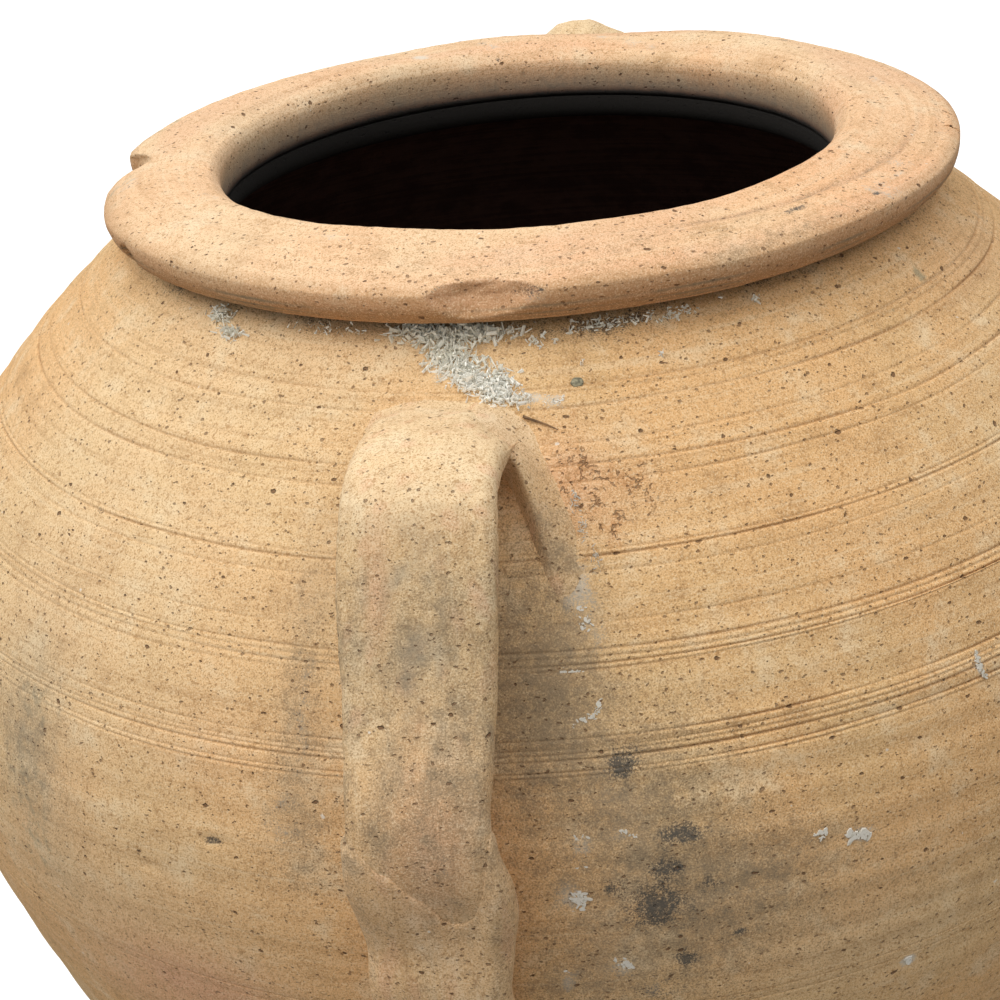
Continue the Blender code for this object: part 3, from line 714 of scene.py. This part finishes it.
def makeRim():
    piece = finishPiece("jar_rim", turn(rimOutline(), rim["steps"]), rimClay, ["rim_ring"], 70)
    mesh = piece.data
    co = pointsOf(mesh)
    bearing = bearingOf(co)
    degrees = np.degrees(bearing)
    ring = ringOf(bearing)
    radius = np.hypot(co[:, 0], co[:, 1])
    over = co[:, 2] - jar["seat"]
    edgeShare = (radius - rim["mouth"]) / (rim["outer"] - rim["mouth"])
    level = over.copy()  # height in the plain section
    # slow unevenness of a hand-turned roll
    radius += 0.0004 * waver(ring, 1.1, 21) * edgeShare
    over *= 1 + rim["lumps"] * waver(np.column_stack([ring, edgeShare]), 0.8, 22)
    topSide = ease(level, 0.010, 0.015)
    spiral = rim["spiralStart"] + rim["spiralClimb"] * (degrees - 2)  # finger groove that winds outwards
    groove = bell(radius, spiral, rim["spiralWidth"]) * ease(degrees, 5, 35) * ease(degrees, 100, 70) * topSide
    over += topSide * 0.00018 * np.sin(tau * radius / 0.0056 + waver(ring, 1.2, 23))
    over -= rim["spiralDepth"] * groove
    grooveDirtAndShade = 0.5 * groove
    outerSide = ease(edgeShare, 0.80, 0.95)
    for height, depth in rimGrooves:
        line = bell(level, height, 0.0006) * outerSide * (0.8 + 0.4 * waver(ring, 0.4, 24))
        radius -= depth * line / 1000
        grooveDirtAndShade = np.maximum(grooveDirtAndShade, 0.7 * line)
    # the near coil's drooping end overlaps the far one at a slanting step
    past = degrees - coilEnd["edge"] - (coilEnd["throat"] - coilEnd["edge"]) * (1 - edgeShare)
    near = ease(degrees, coilEnd["start"], -74.0) * (past > 0)
    over *= 1 - near * edgeShare**4 * coilEnd["droop"]
    radius -= np.interp(past, *zip(*coilInset)) * ease(edgeShare, 0.50, 0.92)
    over -= 0.0006 * bell(past, 0, 0.7) * topSide
    broken = np.zeros(len(co))
    for where, out, up, half in rimChips:
        turnBy = np.radians(turnFrom(degrees, where)) * rim["outer"]
        gone = np.stack([turnBy, radius - rim["outer"] - out, over - up], 1)
        rough = 1 + 0.05 * waver(co, 0.006, 25) + 0.03 * waver(co, 0.0025, 26)
        depth = np.sqrt(((gone / np.array(half)) ** 2).sum(1)) * rough
        hit = depth < 1
        grow = 1 / np.maximum(depth, 0.05)
        radius = np.where(hit, rim["outer"] + out + gone[:, 1] * grow, radius)
        over = np.where(hit, up + gone[:, 2] * grow, over)
        broken = np.maximum(broken, np.where(hit, ease(depth, 1.0, 0.9), 0))
    # the front flake: a shallow spall struck off the edge
    (topRadius, topOver), (footRadius, footOver) = rimFlake["top"], rimFlake["foot"]
    facing = np.array([topOver - footOver, footRadius - topRadius])
    facing /= np.linalg.norm(facing)
    side = degrees - rimFlake["bearing"]
    side = side / np.where(side < 0, rimFlake["left"], rimFlake["right"])
    proud = (radius - topRadius) * facing[0] + (over - topOver) * facing[1]
    ragged = 0.00014 * waver(co, 0.009, 31) + 0.00010 * waver(co, 0.0035, 33)
    spall = proud - rimFlake["depth"] * np.abs(side) ** 1.7 + ragged
    struck = np.where((np.abs(side) < 1.2) & (edgeShare > 0.5), np.clip(spall, 0, None), 0)
    struck *= 1 + 0.22 * ease(struck, 0.0, 0.003)  # slightly hollow
    radius -= struck * facing[0]
    over -= struck * facing[1]
    over += 0.00005 * waver(co, 0.008, 27)
    nearSide = ease(np.cos(bearing - np.radians(rim["nearBearing"])), -0.2, 0.5)
    fuller = bell(radius, rim["nearRadius"], rim["nearSpread"]) * ease(level, 0.0110, 0.0150)
    over += rim["nearLift"] * nearSide * fuller  # the crown beside the mouth
    co = np.stack([np.sin(bearing) * radius, -np.cos(bearing) * radius, jar["seat"] + over], 1)
    setPoints(mesh, co)
    throat = ease(edgeShare, 0.34, 0.12) * (level < 0.016)
    # down the outer side, towards its foot, the rim is painted darker and redder: partly its own tint, partly
    # painted shade where the roll turns under
    below = outerSide * ease(level, 0.0142, 0.0060) * np.clip(0.85 + 0.15 * waver(ring, 0.4, 32), 0, 1)
    # painted shadow along the flake's dark upper edge
    flakeEdgeShadow = 0.7 * bell(struck, 0.00012, 0.00012) * (struck > 0) * ease(level, 0.0105, 0.0130)
    flaked = ease(struck, 0.0, 0.0004)
    # rust at the outer top edge; towards the foot of the outer side, rust and painted shade
    sideRustAndShade = outerSide * (0.38 * ease(level, 0.0162, 0.0130) + 0.50 * ease(level, 0.0125, 0.0050))
    # painted shade along the rim's foot where it sits on the shoulder, darkest in the throat
    underside = most(0.85, throat) * ease(level, 0.0042, 0.0008)
    # painted shade at the flake's right end, under the overhanging rim
    flakeEndShade = 0.62 * bell(degrees, 8.6, 2.0) * bell(level, 0.0128, 0.0022) * outerSide
    haze = 0.40 * throat * ease(level, 0.0100, 0.0065) * ease(level, 0.0, 0.004)
    flush = 0.45 * ease(waver(np.column_stack([ring, edgeShare]), 1.0, 30), 0.2, 1.6) * topSide
    coats = {
        "inside": 0.97 * throat * ease(level, 0.0082, 0.0012),
        "ash": 0.9 * throat * ease(level, 0.0120, 0.0070),
        "grimeAndShade": most(grooveDirtAndShade, 0.22 * below, 0.30 * throat * ease(level, 0.0120, 0.0060)),
        "rust": most(sideRustAndShade, 0.5 * grooveDirtAndShade, 0.50 * flaked),
        # painted light: paler over the left of the rim's top, the side towards the lamp
        "bloomAndLight": 0.40 * ease(ring[:, 0], 0.55, -0.35) * topSide,
        "broken": broken,
        "sootAndShade": most(underside, flakeEdgeShadow, flakeEndShade),
        "film": most(0.45 * ease(waver(co, 0.03, 29), 1.5, 2.3), haze),
        "lichen": 0.5 * ease(waver(co, 0.05, 28), 1.4, 2.2) * topSide,
        "blush": most(flush, 0.6 * groove, 0.60 * below, 0.7 * flaked),
    }
    for kind, where, at, wide, broad, strength in rimMarks:
        coats[kind] = most(coats[kind], strength * spot(degrees, radius, where, at, wide, broad) * topSide)
    paintAll(mesh, coats)
    print("jar_rim", len(mesh.polygons) * 2, "triangles")


makeRim()
print("rim turned")


# handles
strap = {"width": 0.0415, "thick": 0.0125, "square": 3.2, "around": 112, "alongEach": 24, "sunk": 0.0072}
handles = {  # turn about the jar in degrees, lift of the crest
    "front": (0.0, 0.0),
    "rear": (182.0, 0.0200),
}
strapRoute = [  # drop below the rim's seat, space behind the strap, share of the lift, share of the width
    (0.0262, -0.0260, 0.36, 1.05), (0.0199, 0.0269, 1.00, 1.03), (0.0230, 0.0376, 0.95, 1.03),
    (0.0319, 0.0369, 0.70, 1.03), (0.0696, 0.0218, 0.20, 1.01), (0.1035, 0.0215, 0.00, 0.98),
    (0.1385, 0.0085, 0.00, 0.93), (0.1559, 0.0088, 0.00, 0.97), (0.1855, -0.0020, 0.00, 1.02),
    (0.2165, -0.0200, 0.00, 1.02),
]
strapTrim = [  # height, and mm that the left and the right edge move to the right
    (0.340, 0.8, -4.0), (0.362, 0.8, -3.6), (0.372, 0.4, -2.0), (0.387, -0.4, -0.6), (0.398, -0.8, -0.8),
    (0.4026, -0.8, -1.0), (0.416, -0.9, -2.0), (0.4224, -1.0, -2.6), (0.4355, -1.3, -1.9), (0.4486, -1.7, -1.3),
    (0.462, -2.1, -0.8), (0.482, -2.8, -0.4), (0.489, -2.7, -0.9), (0.495, -2.2, -2.2),
]
rearCrest = [  # mm to the right along the rear strap, seen from behind, and how far its crest drops there
    (-21.0, 6.5), (-13.0, 4.0), (-10.0, 2.6), (-7.0, 1.0), (-4.6, 0.0), (9.0, 1.2), (13.5, 3.6), (21.0, 6.5),
]
collar = [  # height on the wall, bearings of the web's free edge and foot, height of the edge in mm
    (0.4520, 9.8, 13.1, -0.6), (0.4580, 9.4, 12.7, 0.8), (0.4658, 8.84, 12.12, 2.5), (0.4723, 8.28, 11.4, 5.0),
    (0.4791, 7.37, 10.65, 8.6), (0.4839, 6.60, 9.9, 12.4), (0.4860, 5.40, 9.60, 14.8), (0.4880, 4.0, 9.3, 15.6),
    (0.4917, 3.0, 8.75, 11.9), (0.4945, 2.6, 7.9, 8.0), (0.4975, 2.4, 6.6, 3.8), (0.5000, 2.2, 5.4, 0.3),
    (0.5012, 2.2, 5.0, -1.2),
]
wrapLip = [  # share across the strap, and height of the smeared clay's upper edge
    (-1.0, 0.4155), (-0.61, 0.4075), (-0.2, 0.4015), (0.0, 0.3983), (0.17, 0.3915), (0.32, 0.3893),
    (0.65, 0.3933),
    (0.8, 0.4026), (1.0, 0.4165),
]


def strapLine(lift):  # the strap's middle line and its width shares, on the plane x = 0
    curve = bpy.data.curves.new("strap_line", "CURVE")
    curve.dimensions = "3D"
    curve.resolution_u = strap["alongEach"]
    spline = curve.splines.new("BEZIER")
    spline.bezier_points.add(len(strapRoute) - 1)
    for point, (drop, clear, share, _) in zip(spline.bezier_points, strapRoute):
        height = jar["seat"] - drop
        reach = float(outerRadius(height)) + clear + strap["thick"] / 2
        point.co = (0, -reach, height + lift * share)
        point.handle_left_type = point.handle_right_type = "AUTO"
    guide = addObject("strap_line", curve)
    bpy.context.view_layer.update()
    mesh = bpy.data.meshes.new_from_object(guide.evaluated_get(bpy.context.evaluated_depsgraph_get()))
    line = pointsOf(mesh)
    bpy.data.objects.remove(guide)
    bpy.data.meshes.remove(mesh)
    widths = np.interp(np.linspace(0, len(strapRoute) - 1, len(line)), range(len(strapRoute)),
                       [station[3] for station in strapRoute])
    return line, widths


def offWall(co):  # distance out from the wall's plain outline
    radius = np.hypot(co[..., 0], co[..., 1])
    across = wallNormal(co[..., 2])[0]
    return (radius - outerRadius(co[..., 2])) * across


def strapEnds(line):  # rows where the strap leaves the wall, stands furthest off and sinks in again
    middle = offWall(line)
    crest = int(np.argmax(middle))
    first = int(np.nonzero(middle[:crest] < -strap["sunk"])[0][-1])
    last = crest + int(np.nonzero(middle[crest:] < -strap["sunk"])[0][0])
    return first, crest, last


def sweep(line, widths, lift):  # points, outward directions and shares across, as rows along the strap
    ahead = np.gradient(line, axis=0)
    ahead /= np.linalg.norm(ahead, axis=1)[:, None]
    face = np.stack([np.zeros(len(line)), ahead[:, 2], -ahead[:, 1]], 1)  # out of the strap's broad face
    angle = tau * np.arange(strap["around"] + 1) / strap["around"]
    power = 2 / strap["square"]
    across = np.sign(np.cos(angle)) * np.abs(np.cos(angle)) ** power
    through = np.sign(np.sin(angle)) * np.abs(np.sin(angle)) ** power
    halfWide = strap["width"] / 2 * widths[:, None]
    halfThick = strap["thick"] / 2 * widths[:, None]
    side = np.array([1.0, 0.0, 0.0])
    rolled = bell(np.abs(across), 0.86, 0.07)  # slightly raised along both edges
    dome = 1 + 0.06 * np.maximum(through, 0) * (1 - across**2 + rolled)
    co = (line[:, None] + side * (across * halfWide)[..., None]
          + face[:, None] * (through * dome * halfThick)[..., None])
    out = (side * (np.sign(across) * np.abs(across) ** 2.2 / halfWide)[..., None]
           + face[:, None] * (np.sign(through) * np.abs(through) ** 2.2 / halfThick)[..., None])
    out /= np.linalg.norm(out, axis=2)[..., None]
    heights, left, right = zip(*strapTrim)
    height = np.broadcast_to(line[:, None, 2], co.shape[:2])
    moveLeft, moveRight = np.interp(height, heights, left), np.interp(height, heights, right)
    co[..., 0] += np.where(across < 0, -across * moveLeft, across * moveRight) / 1000
    if lift:
        fall = np.interp(co[..., 0] * 1000, *zip(*rearCrest)) / 1000
        co[..., 2] -= fall * ease(height, 0.470, 0.500)
    return co, out, np.broadcast_to(across, co.shape[:2])


def flare(co, out, radius):  # clay drawn out over the wall where the strap meets it
    away = np.clip(offWall(co), 0, None)
    around = np.hypot(co[..., 0], co[..., 1])
    across, up = wallNormal(co[..., 2])
    normal = np.stack([co[..., 0] / around * across, co[..., 1] / around * across, up], -1)
    along = out - normal * (out * normal).sum(-1)[..., None]
    gap = np.clip(1 - away / radius, 0, 1)
    reach = radius * (1 - np.sqrt(np.clip(1 - gap**2, 0, 1)))
    moved = co + along * reach[..., None]
    deep = np.clip(-0.011 - offWall(moved), 0, None)  # never through the wall
    return moved + normal * deep[..., None]


def patch(co):  # bmesh grid on rows of points
    rows, columns = co.shape[:2]
    bm = bmesh.new()
    bmesh.ops.create_grid(bm, x_segments=columns - 1, y_segments=rows - 1, size=1)
    bm.verts.ensure_lookup_table()
    for vert, place in zip(bm.verts, co.reshape(-1, 3)):
        vert.co = place
    return bm


def tube(co):  # closed, where the first and last columns meet
    bm = patch(co)
    bmesh.ops.remove_doubles(bm, verts=bm.verts, dist=0.000002)
    bmesh.ops.holes_fill(bm, edges=[edge for edge in bm.edges if edge.is_boundary], sides=0)
    bmesh.ops.recalc_face_normals(bm, faces=bm.faces)
    return bm


def onWall(bearing, z, off):  # points that stand off the wall along its normal
    across, up = wallNormal(z)
    reach = outerRadius(z) + across * off
    return np.stack([np.sin(bearing) * reach, -np.cos(bearing) * reach, z + up * off], -1)


def makeHandle(side, turnBy, lift):
    line, widths = strapLine(lift)
    first, _, last = strapEnds(line)
    rows = slice(first, last)
    seed = 300 if side == "front" else 400
    co, out, across = sweep(line[rows], widths[rows], lift)
    pulled = np.stack([across * 0.9, co[..., 2] * 22], -1).reshape(-1, 2)
    uneven = 0.00030 * waver(pulled, 1.0, seed).reshape(across.shape)  # finger unevenness
    grained = co.reshape(-1, 3) * np.array([1, 1, 0.12])
    uneven += 0.00010 * waver(grained, 0.0042, seed + 1).reshape(across.shape)
    co = flare(co + out * uneven[..., None], out, 0.0038)
    near = ease(offWall(np.broadcast_to(line[rows, None], co.shape)), 0.024, 0.004)
    # the right side sinks into the web at the root
    co[..., 2] -= 0.0062 * near * ease(across, 0.25, 1.0) * ease(out[..., 2], -0.3, 0.5)
    spin = Matrix.Rotation(math.radians(turnBy), 4, "Z")
    bm = tube(co)
    bm.transform(spin)
    piece = finishPiece(side + "_strap", bm, strapClay, [side + "_handle_strap"], 60)
    stainStrap(piece.data, seed)
    makeCollar(side, spin, lift, seed)
    makeWrap(side, spin, line, widths, lift, seed)


def makeCollar(side, spin, lift, seed):  # web of luting clay drawn from the strap's side down the wall
    heights, free, foot, proud = (np.array(column) for column in zip(*collar))
    z = np.linspace(heights[0], heights[-1], 90)[:, None]
    share = np.linspace(-0.9, 1.12, 64)[None]
    edge, end, high = (np.interp(z, heights, column) for column in (free, foot, proud))
    bearing = np.radians(edge + (end - edge) * share)
    slope = ease(share, 1.05, -0.15) ** 0.9 * np.clip(1 - share, 0, 1) ** 0.25
    hollow = ease(share, -0.55, -0.02)
    off = np.where(share < 0, (high + 2.5) * hollow - 2.5, high * slope) - 6.0 * np.clip(share - 1, 0, 1)
    z = z + 0 * share
    lumps = waver(np.stack([bearing * 190, z * 1000], -1).reshape(-1, 2), 9.0, seed + 9).reshape(z.shape)
    off = off + 0.18 * lumps * ease(off, 0.0, 2.0)
    z = z + lift * 0.45 * ease(z, 0.452, 0.49)
    bm = patch(onWall(bearing, z, off / 1000))
    grown = bmesh.ops.extrude_face_region(bm, geom=bm.faces[:], use_keep_orig=True)["geom"]
    base = onWall(bearing, z, np.full(z.shape, -0.006)).reshape(-1, 3)
    lower = [part for part in grown if isinstance(part, bmesh.types.BMVert)]
    for vert, place in zip(lower, base):
        vert.co = place
    bmesh.ops.recalc_face_normals(bm, faces=bm.faces)
    below = set(lower)
    upper = [vert for vert in bm.verts if vert not in below]
    for _ in range(26):  # thumbed smooth
        bmesh.ops.smooth_vert(bm, verts=upper, factor=0.5, use_axis_x=True, use_axis_y=True, use_axis_z=True)
    bm.transform(spin)
    piece = finishPiece(side + "_collar", bm, luteClay, [side + "_handle_collar"], 60)
    stainStrap(piece.data, seed + 30)


def stainStrap(mesh, seed):
    co = pointsOf(mesh)
    z = co[:, 2]
    x = co[:, 0]
    drawn = co * np.array([1, 1, 0.22])
    streak = ease(waver(drawn, 0.006, seed + 2), -0.9, 1.3)
    lower = ease(z, 0.42, 0.40)
    faced = ease(z, 0.505, 0.474)
    belt = bell(x, 0.003, 0.012) * bell(z, 0.415, 0.022)  # baked redder low on the strap
    patches = 0.30 + 0.26 * ease(waver(drawn, 0.012, seed + 5), -0.8, 1.4)
    edgeFlush = 0.6 * bell(x, -0.0115, 0.0035) * faced * ease(z, 0.455, 0.475)
    paintAll(mesh, {
        "ash": faced * (0.10 + 0.60 * bell(x, -0.001, 0.0095) * ease(z, 0.430, 0.468) * streak),
        "grimeAndShade": patches * ease(z, 0.505, 0.466) * (1 - 0.45 * lower),
        # painted light: paler over the top of the strap, where it faces the light
        "bloomAndLight": 0.5 * ease(z, 0.484, 0.496),
        "rust": 0.38 * belt * ease(waver(drawn, 0.01, seed + 8), -1.2, 1.0),
        "film": 0.42 * faced * most(0.5 * bell(x, -0.0180, 0.0045), 0.8 * streak * bell(x, 0.006, 0.007)),
        "blush": most(0.7 * belt, edgeFlush, 0.4 * ease(waver(drawn, 0.008, seed + 6), 0.8, 1.8)),
    })


def makeWrap(side, spin, line, widths, lift, seed):  # clay smeared over the strap's lower end
    _, crest, last = strapEnds(line)
    base, baseOut, across = sweep(line, widths, lift)
    count = strap["around"] + 1
    around = tau * np.arange(count) / strap["around"]
    ragged = 0.0005 * waver(np.stack([np.cos(around), np.sin(around)], 1), 0.5, seed + 16)
    ragged[-1] = ragged[0]
    lip = np.interp(across[0], *zip(*wrapLip)) + ragged
    start = np.interp(-lip, -line[crest:last, 2], np.arange(crest, last))
    share = np.linspace(0, 1, 150) ** 1.8
    at = start[None] + (last - 1 - start[None]) * share[:, None]
    whole = np.arange(len(line))
    co = np.empty((len(share), count, 3))
    out = np.empty_like(co)
    for column in range(count):
        for axis in range(3):
            co[:, column, axis] = np.interp(at[:, column], whole, base[:, column, axis])
            out[:, column, axis] = np.interp(at[:, column], whole, baseOut[:, column, axis])
    along = np.linalg.norm(np.diff(co, axis=0), axis=2)
    along = np.vstack([np.zeros(count), np.cumsum(along, axis=0)])
    rounded = np.sqrt(np.clip(1 - (1 - np.clip(along / 0.0032, 0, 1)) ** 2, 0, 1))
    lumps = 1 + 0.14 * waver(co.reshape(-1, 3), 0.020, seed + 7).reshape(along.shape)
    thick = -0.0006 + 0.0012 * rounded + 0.0013 * ease(along, 0.001, 0.018) * lumps
    swell = ease(across[:1], 0.60, 1.0) * ease(along, 0.0, 0.012) * bell(co[..., 2], 0.388, 0.016)
    corner = ease(across[:1], -0.70, -0.98) * ease(along, 0.0, 0.003) * bell(along, 0, 0.022)
    thick = thick + 0.0018 * swell + 0.0012 * corner
    co = flare(co + out * thick[..., None], out, 0.0045)
    bm = tube(co)
    bm.transform(spin)
    piece = finishPiece(side + "_wrap", bm, luteClay, [side + "_handle_wrap"], 60)
    stainStrap(piece.data, seed + 20)


for side, (turnBy, lift) in handles.items():
    makeHandle(side, turnBy, lift)
print("handles luted on")


# salt crust: fine shards in clumps, and flat scales along the trails of dried lime
saltClumps = [  # bearing, height, half width in degrees, half height, shards, longest in mm
    (-4.2, 0.5136, 3.6, 0.0016, 300, 3.4), (1.6, 0.5134, 3.4, 0.0016, 280, 3.4),
    (-1.6, 0.5092, 2.2, 0.0024, 320, 3.4),
    (0.8, 0.5062, 1.8, 0.0022, 260, 3.4), (1.4, 0.5036, 1.4, 0.0018, 150, 3.2),
    (4.2, 0.5022, 1.8, 0.0027, 420, 3.6),
    (5.6, 0.5000, 1.1, 0.0012, 100, 3.0), (9.2, 0.5112, 0.8, 0.0010, 24, 2.4),
    (7.4, 0.4997, 0.7, 0.0010, 50, 2.0),
    (10.6, 0.4986, 1.0, 0.0008, 40, 1.6), (-35.2, 0.5125, 1.5, 0.0011, 110, 2.8),
    (-31.6, 0.5095, 1.7, 0.0010, 90, 2.8),
    (23.2, 0.5054, 0.25, 0.0005, 8, 2.4), (14.0, 0.5058, 0.25, 0.0004, 6, 2.4),
    (11.3, 0.5108, 0.3, 0.0005, 8, 2.2),
    (37.2, 0.5121, 0.4, 0.0006, 12, 2.6), (18.0, 0.5134, 5.0, 0.0010, 100, 2.4),
    (26.0, 0.5132, 4.0, 0.0008, 60, 2.2),
    (-18.0, 0.5136, 5.0, 0.0008, 50, 1.8), (12.0, 0.4715, 0.45, 0.0024, 36, 1.8),
    (12.7, 0.4650, 0.4, 0.0024, 30, 1.8),
    (11.4, 0.4770, 0.4, 0.0020, 30, 1.8), (150.0, 0.5110, 3.0, 0.0014, 140, 2.6),
    (-120.0, 0.5120, 2.4, 0.0012, 100, 2.6),
    (95.0, 0.5115, 2.0, 0.0010, 60, 2.4),
]
limeTrails = [  # bearings and heights along the trail, then scales, half breadth and longest in mm
    ([(9.1, 0.4403), (10.5, 0.4397), (12.0, 0.4345), (11.5, 0.4294), (9.6, 0.4272)], 90, 0.45, 1.7),
    ([(10.6, 0.4600), (11.8, 0.4575), (11.0, 0.4540), (11.6, 0.4490)], 60, 1.3, 2.0),
    ([(9.4, 0.3985), (9.9, 0.3935), (9.3, 0.3900)], 34, 1.3, 2.4),
    ([(8.6, 0.3835), (9.3, 0.3800), (9.0, 0.3760)], 40, 1.3, 2.8),
    ([(28.7, 0.3847), (30.3, 0.3836)], 18, 0.5, 4.6), ([(26.2, 0.3880), (26.9, 0.3874)], 10, 0.7, 2.4),
    ([(42.0, 0.4215), (42.3, 0.4150)], 20, 0.5, 2.6), ([(33.7, 0.3335), (34.3, 0.3308)], 12, 0.5, 3.2),
    ([(7.8, 0.3545), (7.9, 0.3480)], 26, 0.9, 2.6),
    ([(11.3, 0.3575), (12.2, 0.3560), (11.9, 0.3530)], 26, 0.9, 2.6),
    ([(12.3, 0.3990), (13.3, 0.3970), (13.4, 0.3950)], 22, 0.5, 1.8),
    ([(-13.5, 0.4575), (-12.4, 0.4560)], 12, 0.9, 1.6),
    ([(148.0, 0.3900), (151.0, 0.3860), (152.0, 0.3800)], 36, 0.9, 2.4),
    ([(-100.0, 0.4300), (-97.0, 0.4290)], 24, 0.9, 2.4),
]


def wallSpot(bearing, z, off):  # point and normal on the wall, for one small bit
    across, up = wallNormal(np.float64(z))
    normal = Vector((math.sin(bearing) * across, -math.cos(bearing) * across, up))
    return Vector(onWall(bearing, np.float64(z), off)), normal


def addBit(bm, segments, tip, place, pose, size):  # one tapering shard or scale
    bmesh.ops.create_cone(bm, cap_ends=True, segments=segments, radius1=0.5, radius2=tip, depth=1,
                          matrix=Matrix.Translation(place) @ pose @ Matrix.Diagonal((*size, 1)))


def makeSalt(seed=77):
    draw = np.random.default_rng(seed)
    whole = bmesh.new()
    spare = bpy.data.meshes.new("salt_clump")

    def gather(bm):  # each clump is built on its own, which is quicker
        bm.to_mesh(spare)
        bm.free()
        whole.from_mesh(spare)

    for where, height, wide, high, count, longest in saltClumps:
        bm = bmesh.new()
        for _ in range(count):
            bearing = math.radians(where + draw.normal() * wide * 0.6)
            z = min(height + draw.normal() * high * 0.7, 0.5158)
            place, normal = wallSpot(bearing, z, abs(draw.normal()) * 0.0010)
            length = longest / 1000 * draw.uniform(0.3, 1.0)
            lean = Vector(draw.normal(size=3)).normalized()
            pose = aimed(lean + normal * draw.uniform(-0.3, 0.7), "Z", "X")
            size = (length * draw.uniform(0.20, 0.55), length * draw.uniform(0.07, 0.20), length)
            addBit(bm, 5, draw.uniform(0.05, 0.4), place, pose, size)
        gather(bm)
    for path, count, broad, longest in limeTrails:
        bm = bmesh.new()
        stops = np.linspace(0, len(path) - 1, len(path))
        for _ in range(count):
            at = draw.uniform(0, len(path) - 1)
            bearing, z = (np.interp(at, stops, column) for column in zip(*path))
            z += draw.normal() * broad * 0.0010
            bearing = math.radians(bearing + draw.normal() * broad * 0.20)
            place, normal = wallSpot(bearing, z, 0.00012)
            pose = aimed(normal) @ Matrix.Rotation(draw.uniform(0, tau), 4, "Z")
            length = longest / 1000 * draw.uniform(0.3, 1.0)
            addBit(bm, 7, 0.40, place, pose, (length, length * draw.uniform(0.25, 0.75), 0.00035))
        gather(bm)
    bpy.data.meshes.remove(spare)
    finishPiece("salt_crust", whole, saltWhite, (), 20)


strayBits = {
    "straw": ((7.2, 0.4960), (10.6, 0.4925)), "strawThick": 0.0010,
    "pebble": (13.2, 0.5022), "pebbleSize": 0.0019,
}


def makeStrayBits():
    (startBearing, startHeight), (endBearing, endHeight) = strayBits["straw"]
    start = wallSpot(math.radians(startBearing), startHeight, 0.0008)[0]
    end = wallSpot(math.radians(endBearing), endHeight, 0.0010)[0]
    bm = bmesh.new()
    bmesh.ops.create_cone(bm, cap_ends=True, segments=7, radius1=0.5, radius2=0.16, depth=1)
    sides = [edge for edge in bm.edges if abs(edge.verts[0].co.z - edge.verts[1].co.z) > 0.5]
    bmesh.ops.subdivide_edges(bm, edges=sides, cuts=9)
    for vert in bm.verts:  # a little crooked
        vert.co.x += 0.35 * math.sin(vert.co.z * 5.0 + 0.6)
    size = Matrix.Diagonal((strayBits["strawThick"], strayBits["strawThick"], (end - start).length, 1))
    bm.transform(Matrix.Translation((start + end) / 2) @ aimed(end - start) @ size)
    finishPiece("straw_bit", bm, strawBrown, (), 40)
    place, normal = wallSpot(math.radians(strayBits["pebble"][0]), strayBits["pebble"][1], 0.0001)
    bm = bmesh.new()
    bmesh.ops.create_icosphere(bm, subdivisions=3, radius=strayBits["pebbleSize"])
    for vert in bm.verts:
        vert.co *= 1 + 0.10 * math.sin(vert.co.x * 2900 + 1) * math.sin(vert.co.y * 2300 + 2)
    flat = Matrix.Diagonal((1.0, 0.85, 0.42, 1))
    bm.transform(Matrix.Translation(place) @ aimed(normal) @ flat)
    finishPiece("pebble_bit", bm, pebbleGrey, (), 60)


makeSalt()
makeStrayBits()
print("salt crust grown")


# floor and light
studio = {
    "floor": (0.86, 0.86, 0.86), "bounce": (0.24, 0.23, 0.22), "glow": 0.30, "zenith": 1.65, "horizon": 0.34,
    "keyPlace": (-1.05, -0.95, 2.45), "keyAim": (0, 0, 0.4), "keySize": 1.5, "keyWatts": 24.0,
    "keyTint": (1.0, 0.97, 0.93),
}


def makeFloorSheet():
    bm = bmesh.new()
    bmesh.ops.create_grid(bm, x_segments=1, y_segments=1, size=14)
    mesh = meshFrom("studio_floor", bm)
    sheet = addObject("studio_floor", mesh)
    kit = Finish("studio_floor")
    rays = ("Is Camera Ray", "Is Glossy Ray", "Is Transmission Ray")
    seen, glossy, through = (kit.node("ShaderNodeLightPath", {}, {}, ray) for ray in rays)
    looked = seen.most(glossy).most(through)
    kit.shade(Base_Color=kit.mix(looked, studio["bounce"], studio["floor"]), Roughness=0.95,
              Emission_Color=kit.mix(looked, (0, 0, 0), (studio["glow"],) * 3))
    kit.shader.inputs["Emission Strength"].default_value = 1.0
    kit.shader.inputs["Specular IOR Level"].default_value = 0.0
    mesh.materials.append(kit.material)


def makeLight():
    world = bpy.data.worlds.new("studio_sky")
    scene.world = world
    kit = NodeKit(world, "Generated")
    up = kit.node("ShaderNodeSeparateXYZ", {}, {0: kit.place}, 2)
    sockets = {"Value": up * up.most(0.0), "To Min": studio["horizon"], "To Max": studio["zenith"]}
    sky = kit.node("ShaderNodeMapRange", {}, sockets)
    seen = kit.node("ShaderNodeLightPath", {}, {}, "Is Camera Ray")
    back = kit.tree.nodes["Background"]
    kit.feed(back.inputs["Color"], (1, 1, 1))
    kit.feed(back.inputs["Strength"], kit.node("ShaderNodeMix", {}, {0: seen, 2: sky, 3: 1.0}))
    lamp = bpy.data.lights.new("key_lamp", "AREA")
    lamp.size = studio["keySize"]
    lamp.energy = studio["keyWatts"]
    lamp.color = studio["keyTint"]
    key = addObject("key_lamp", lamp)
    aim = Vector(studio["keyAim"]) - Vector(studio["keyPlace"])
    key.matrix_world = Matrix.Translation(studio["keyPlace"]) @ aimed(aim, "-Z", "Y")


makeFloorSheet()
makeLight()
print("studio lit")
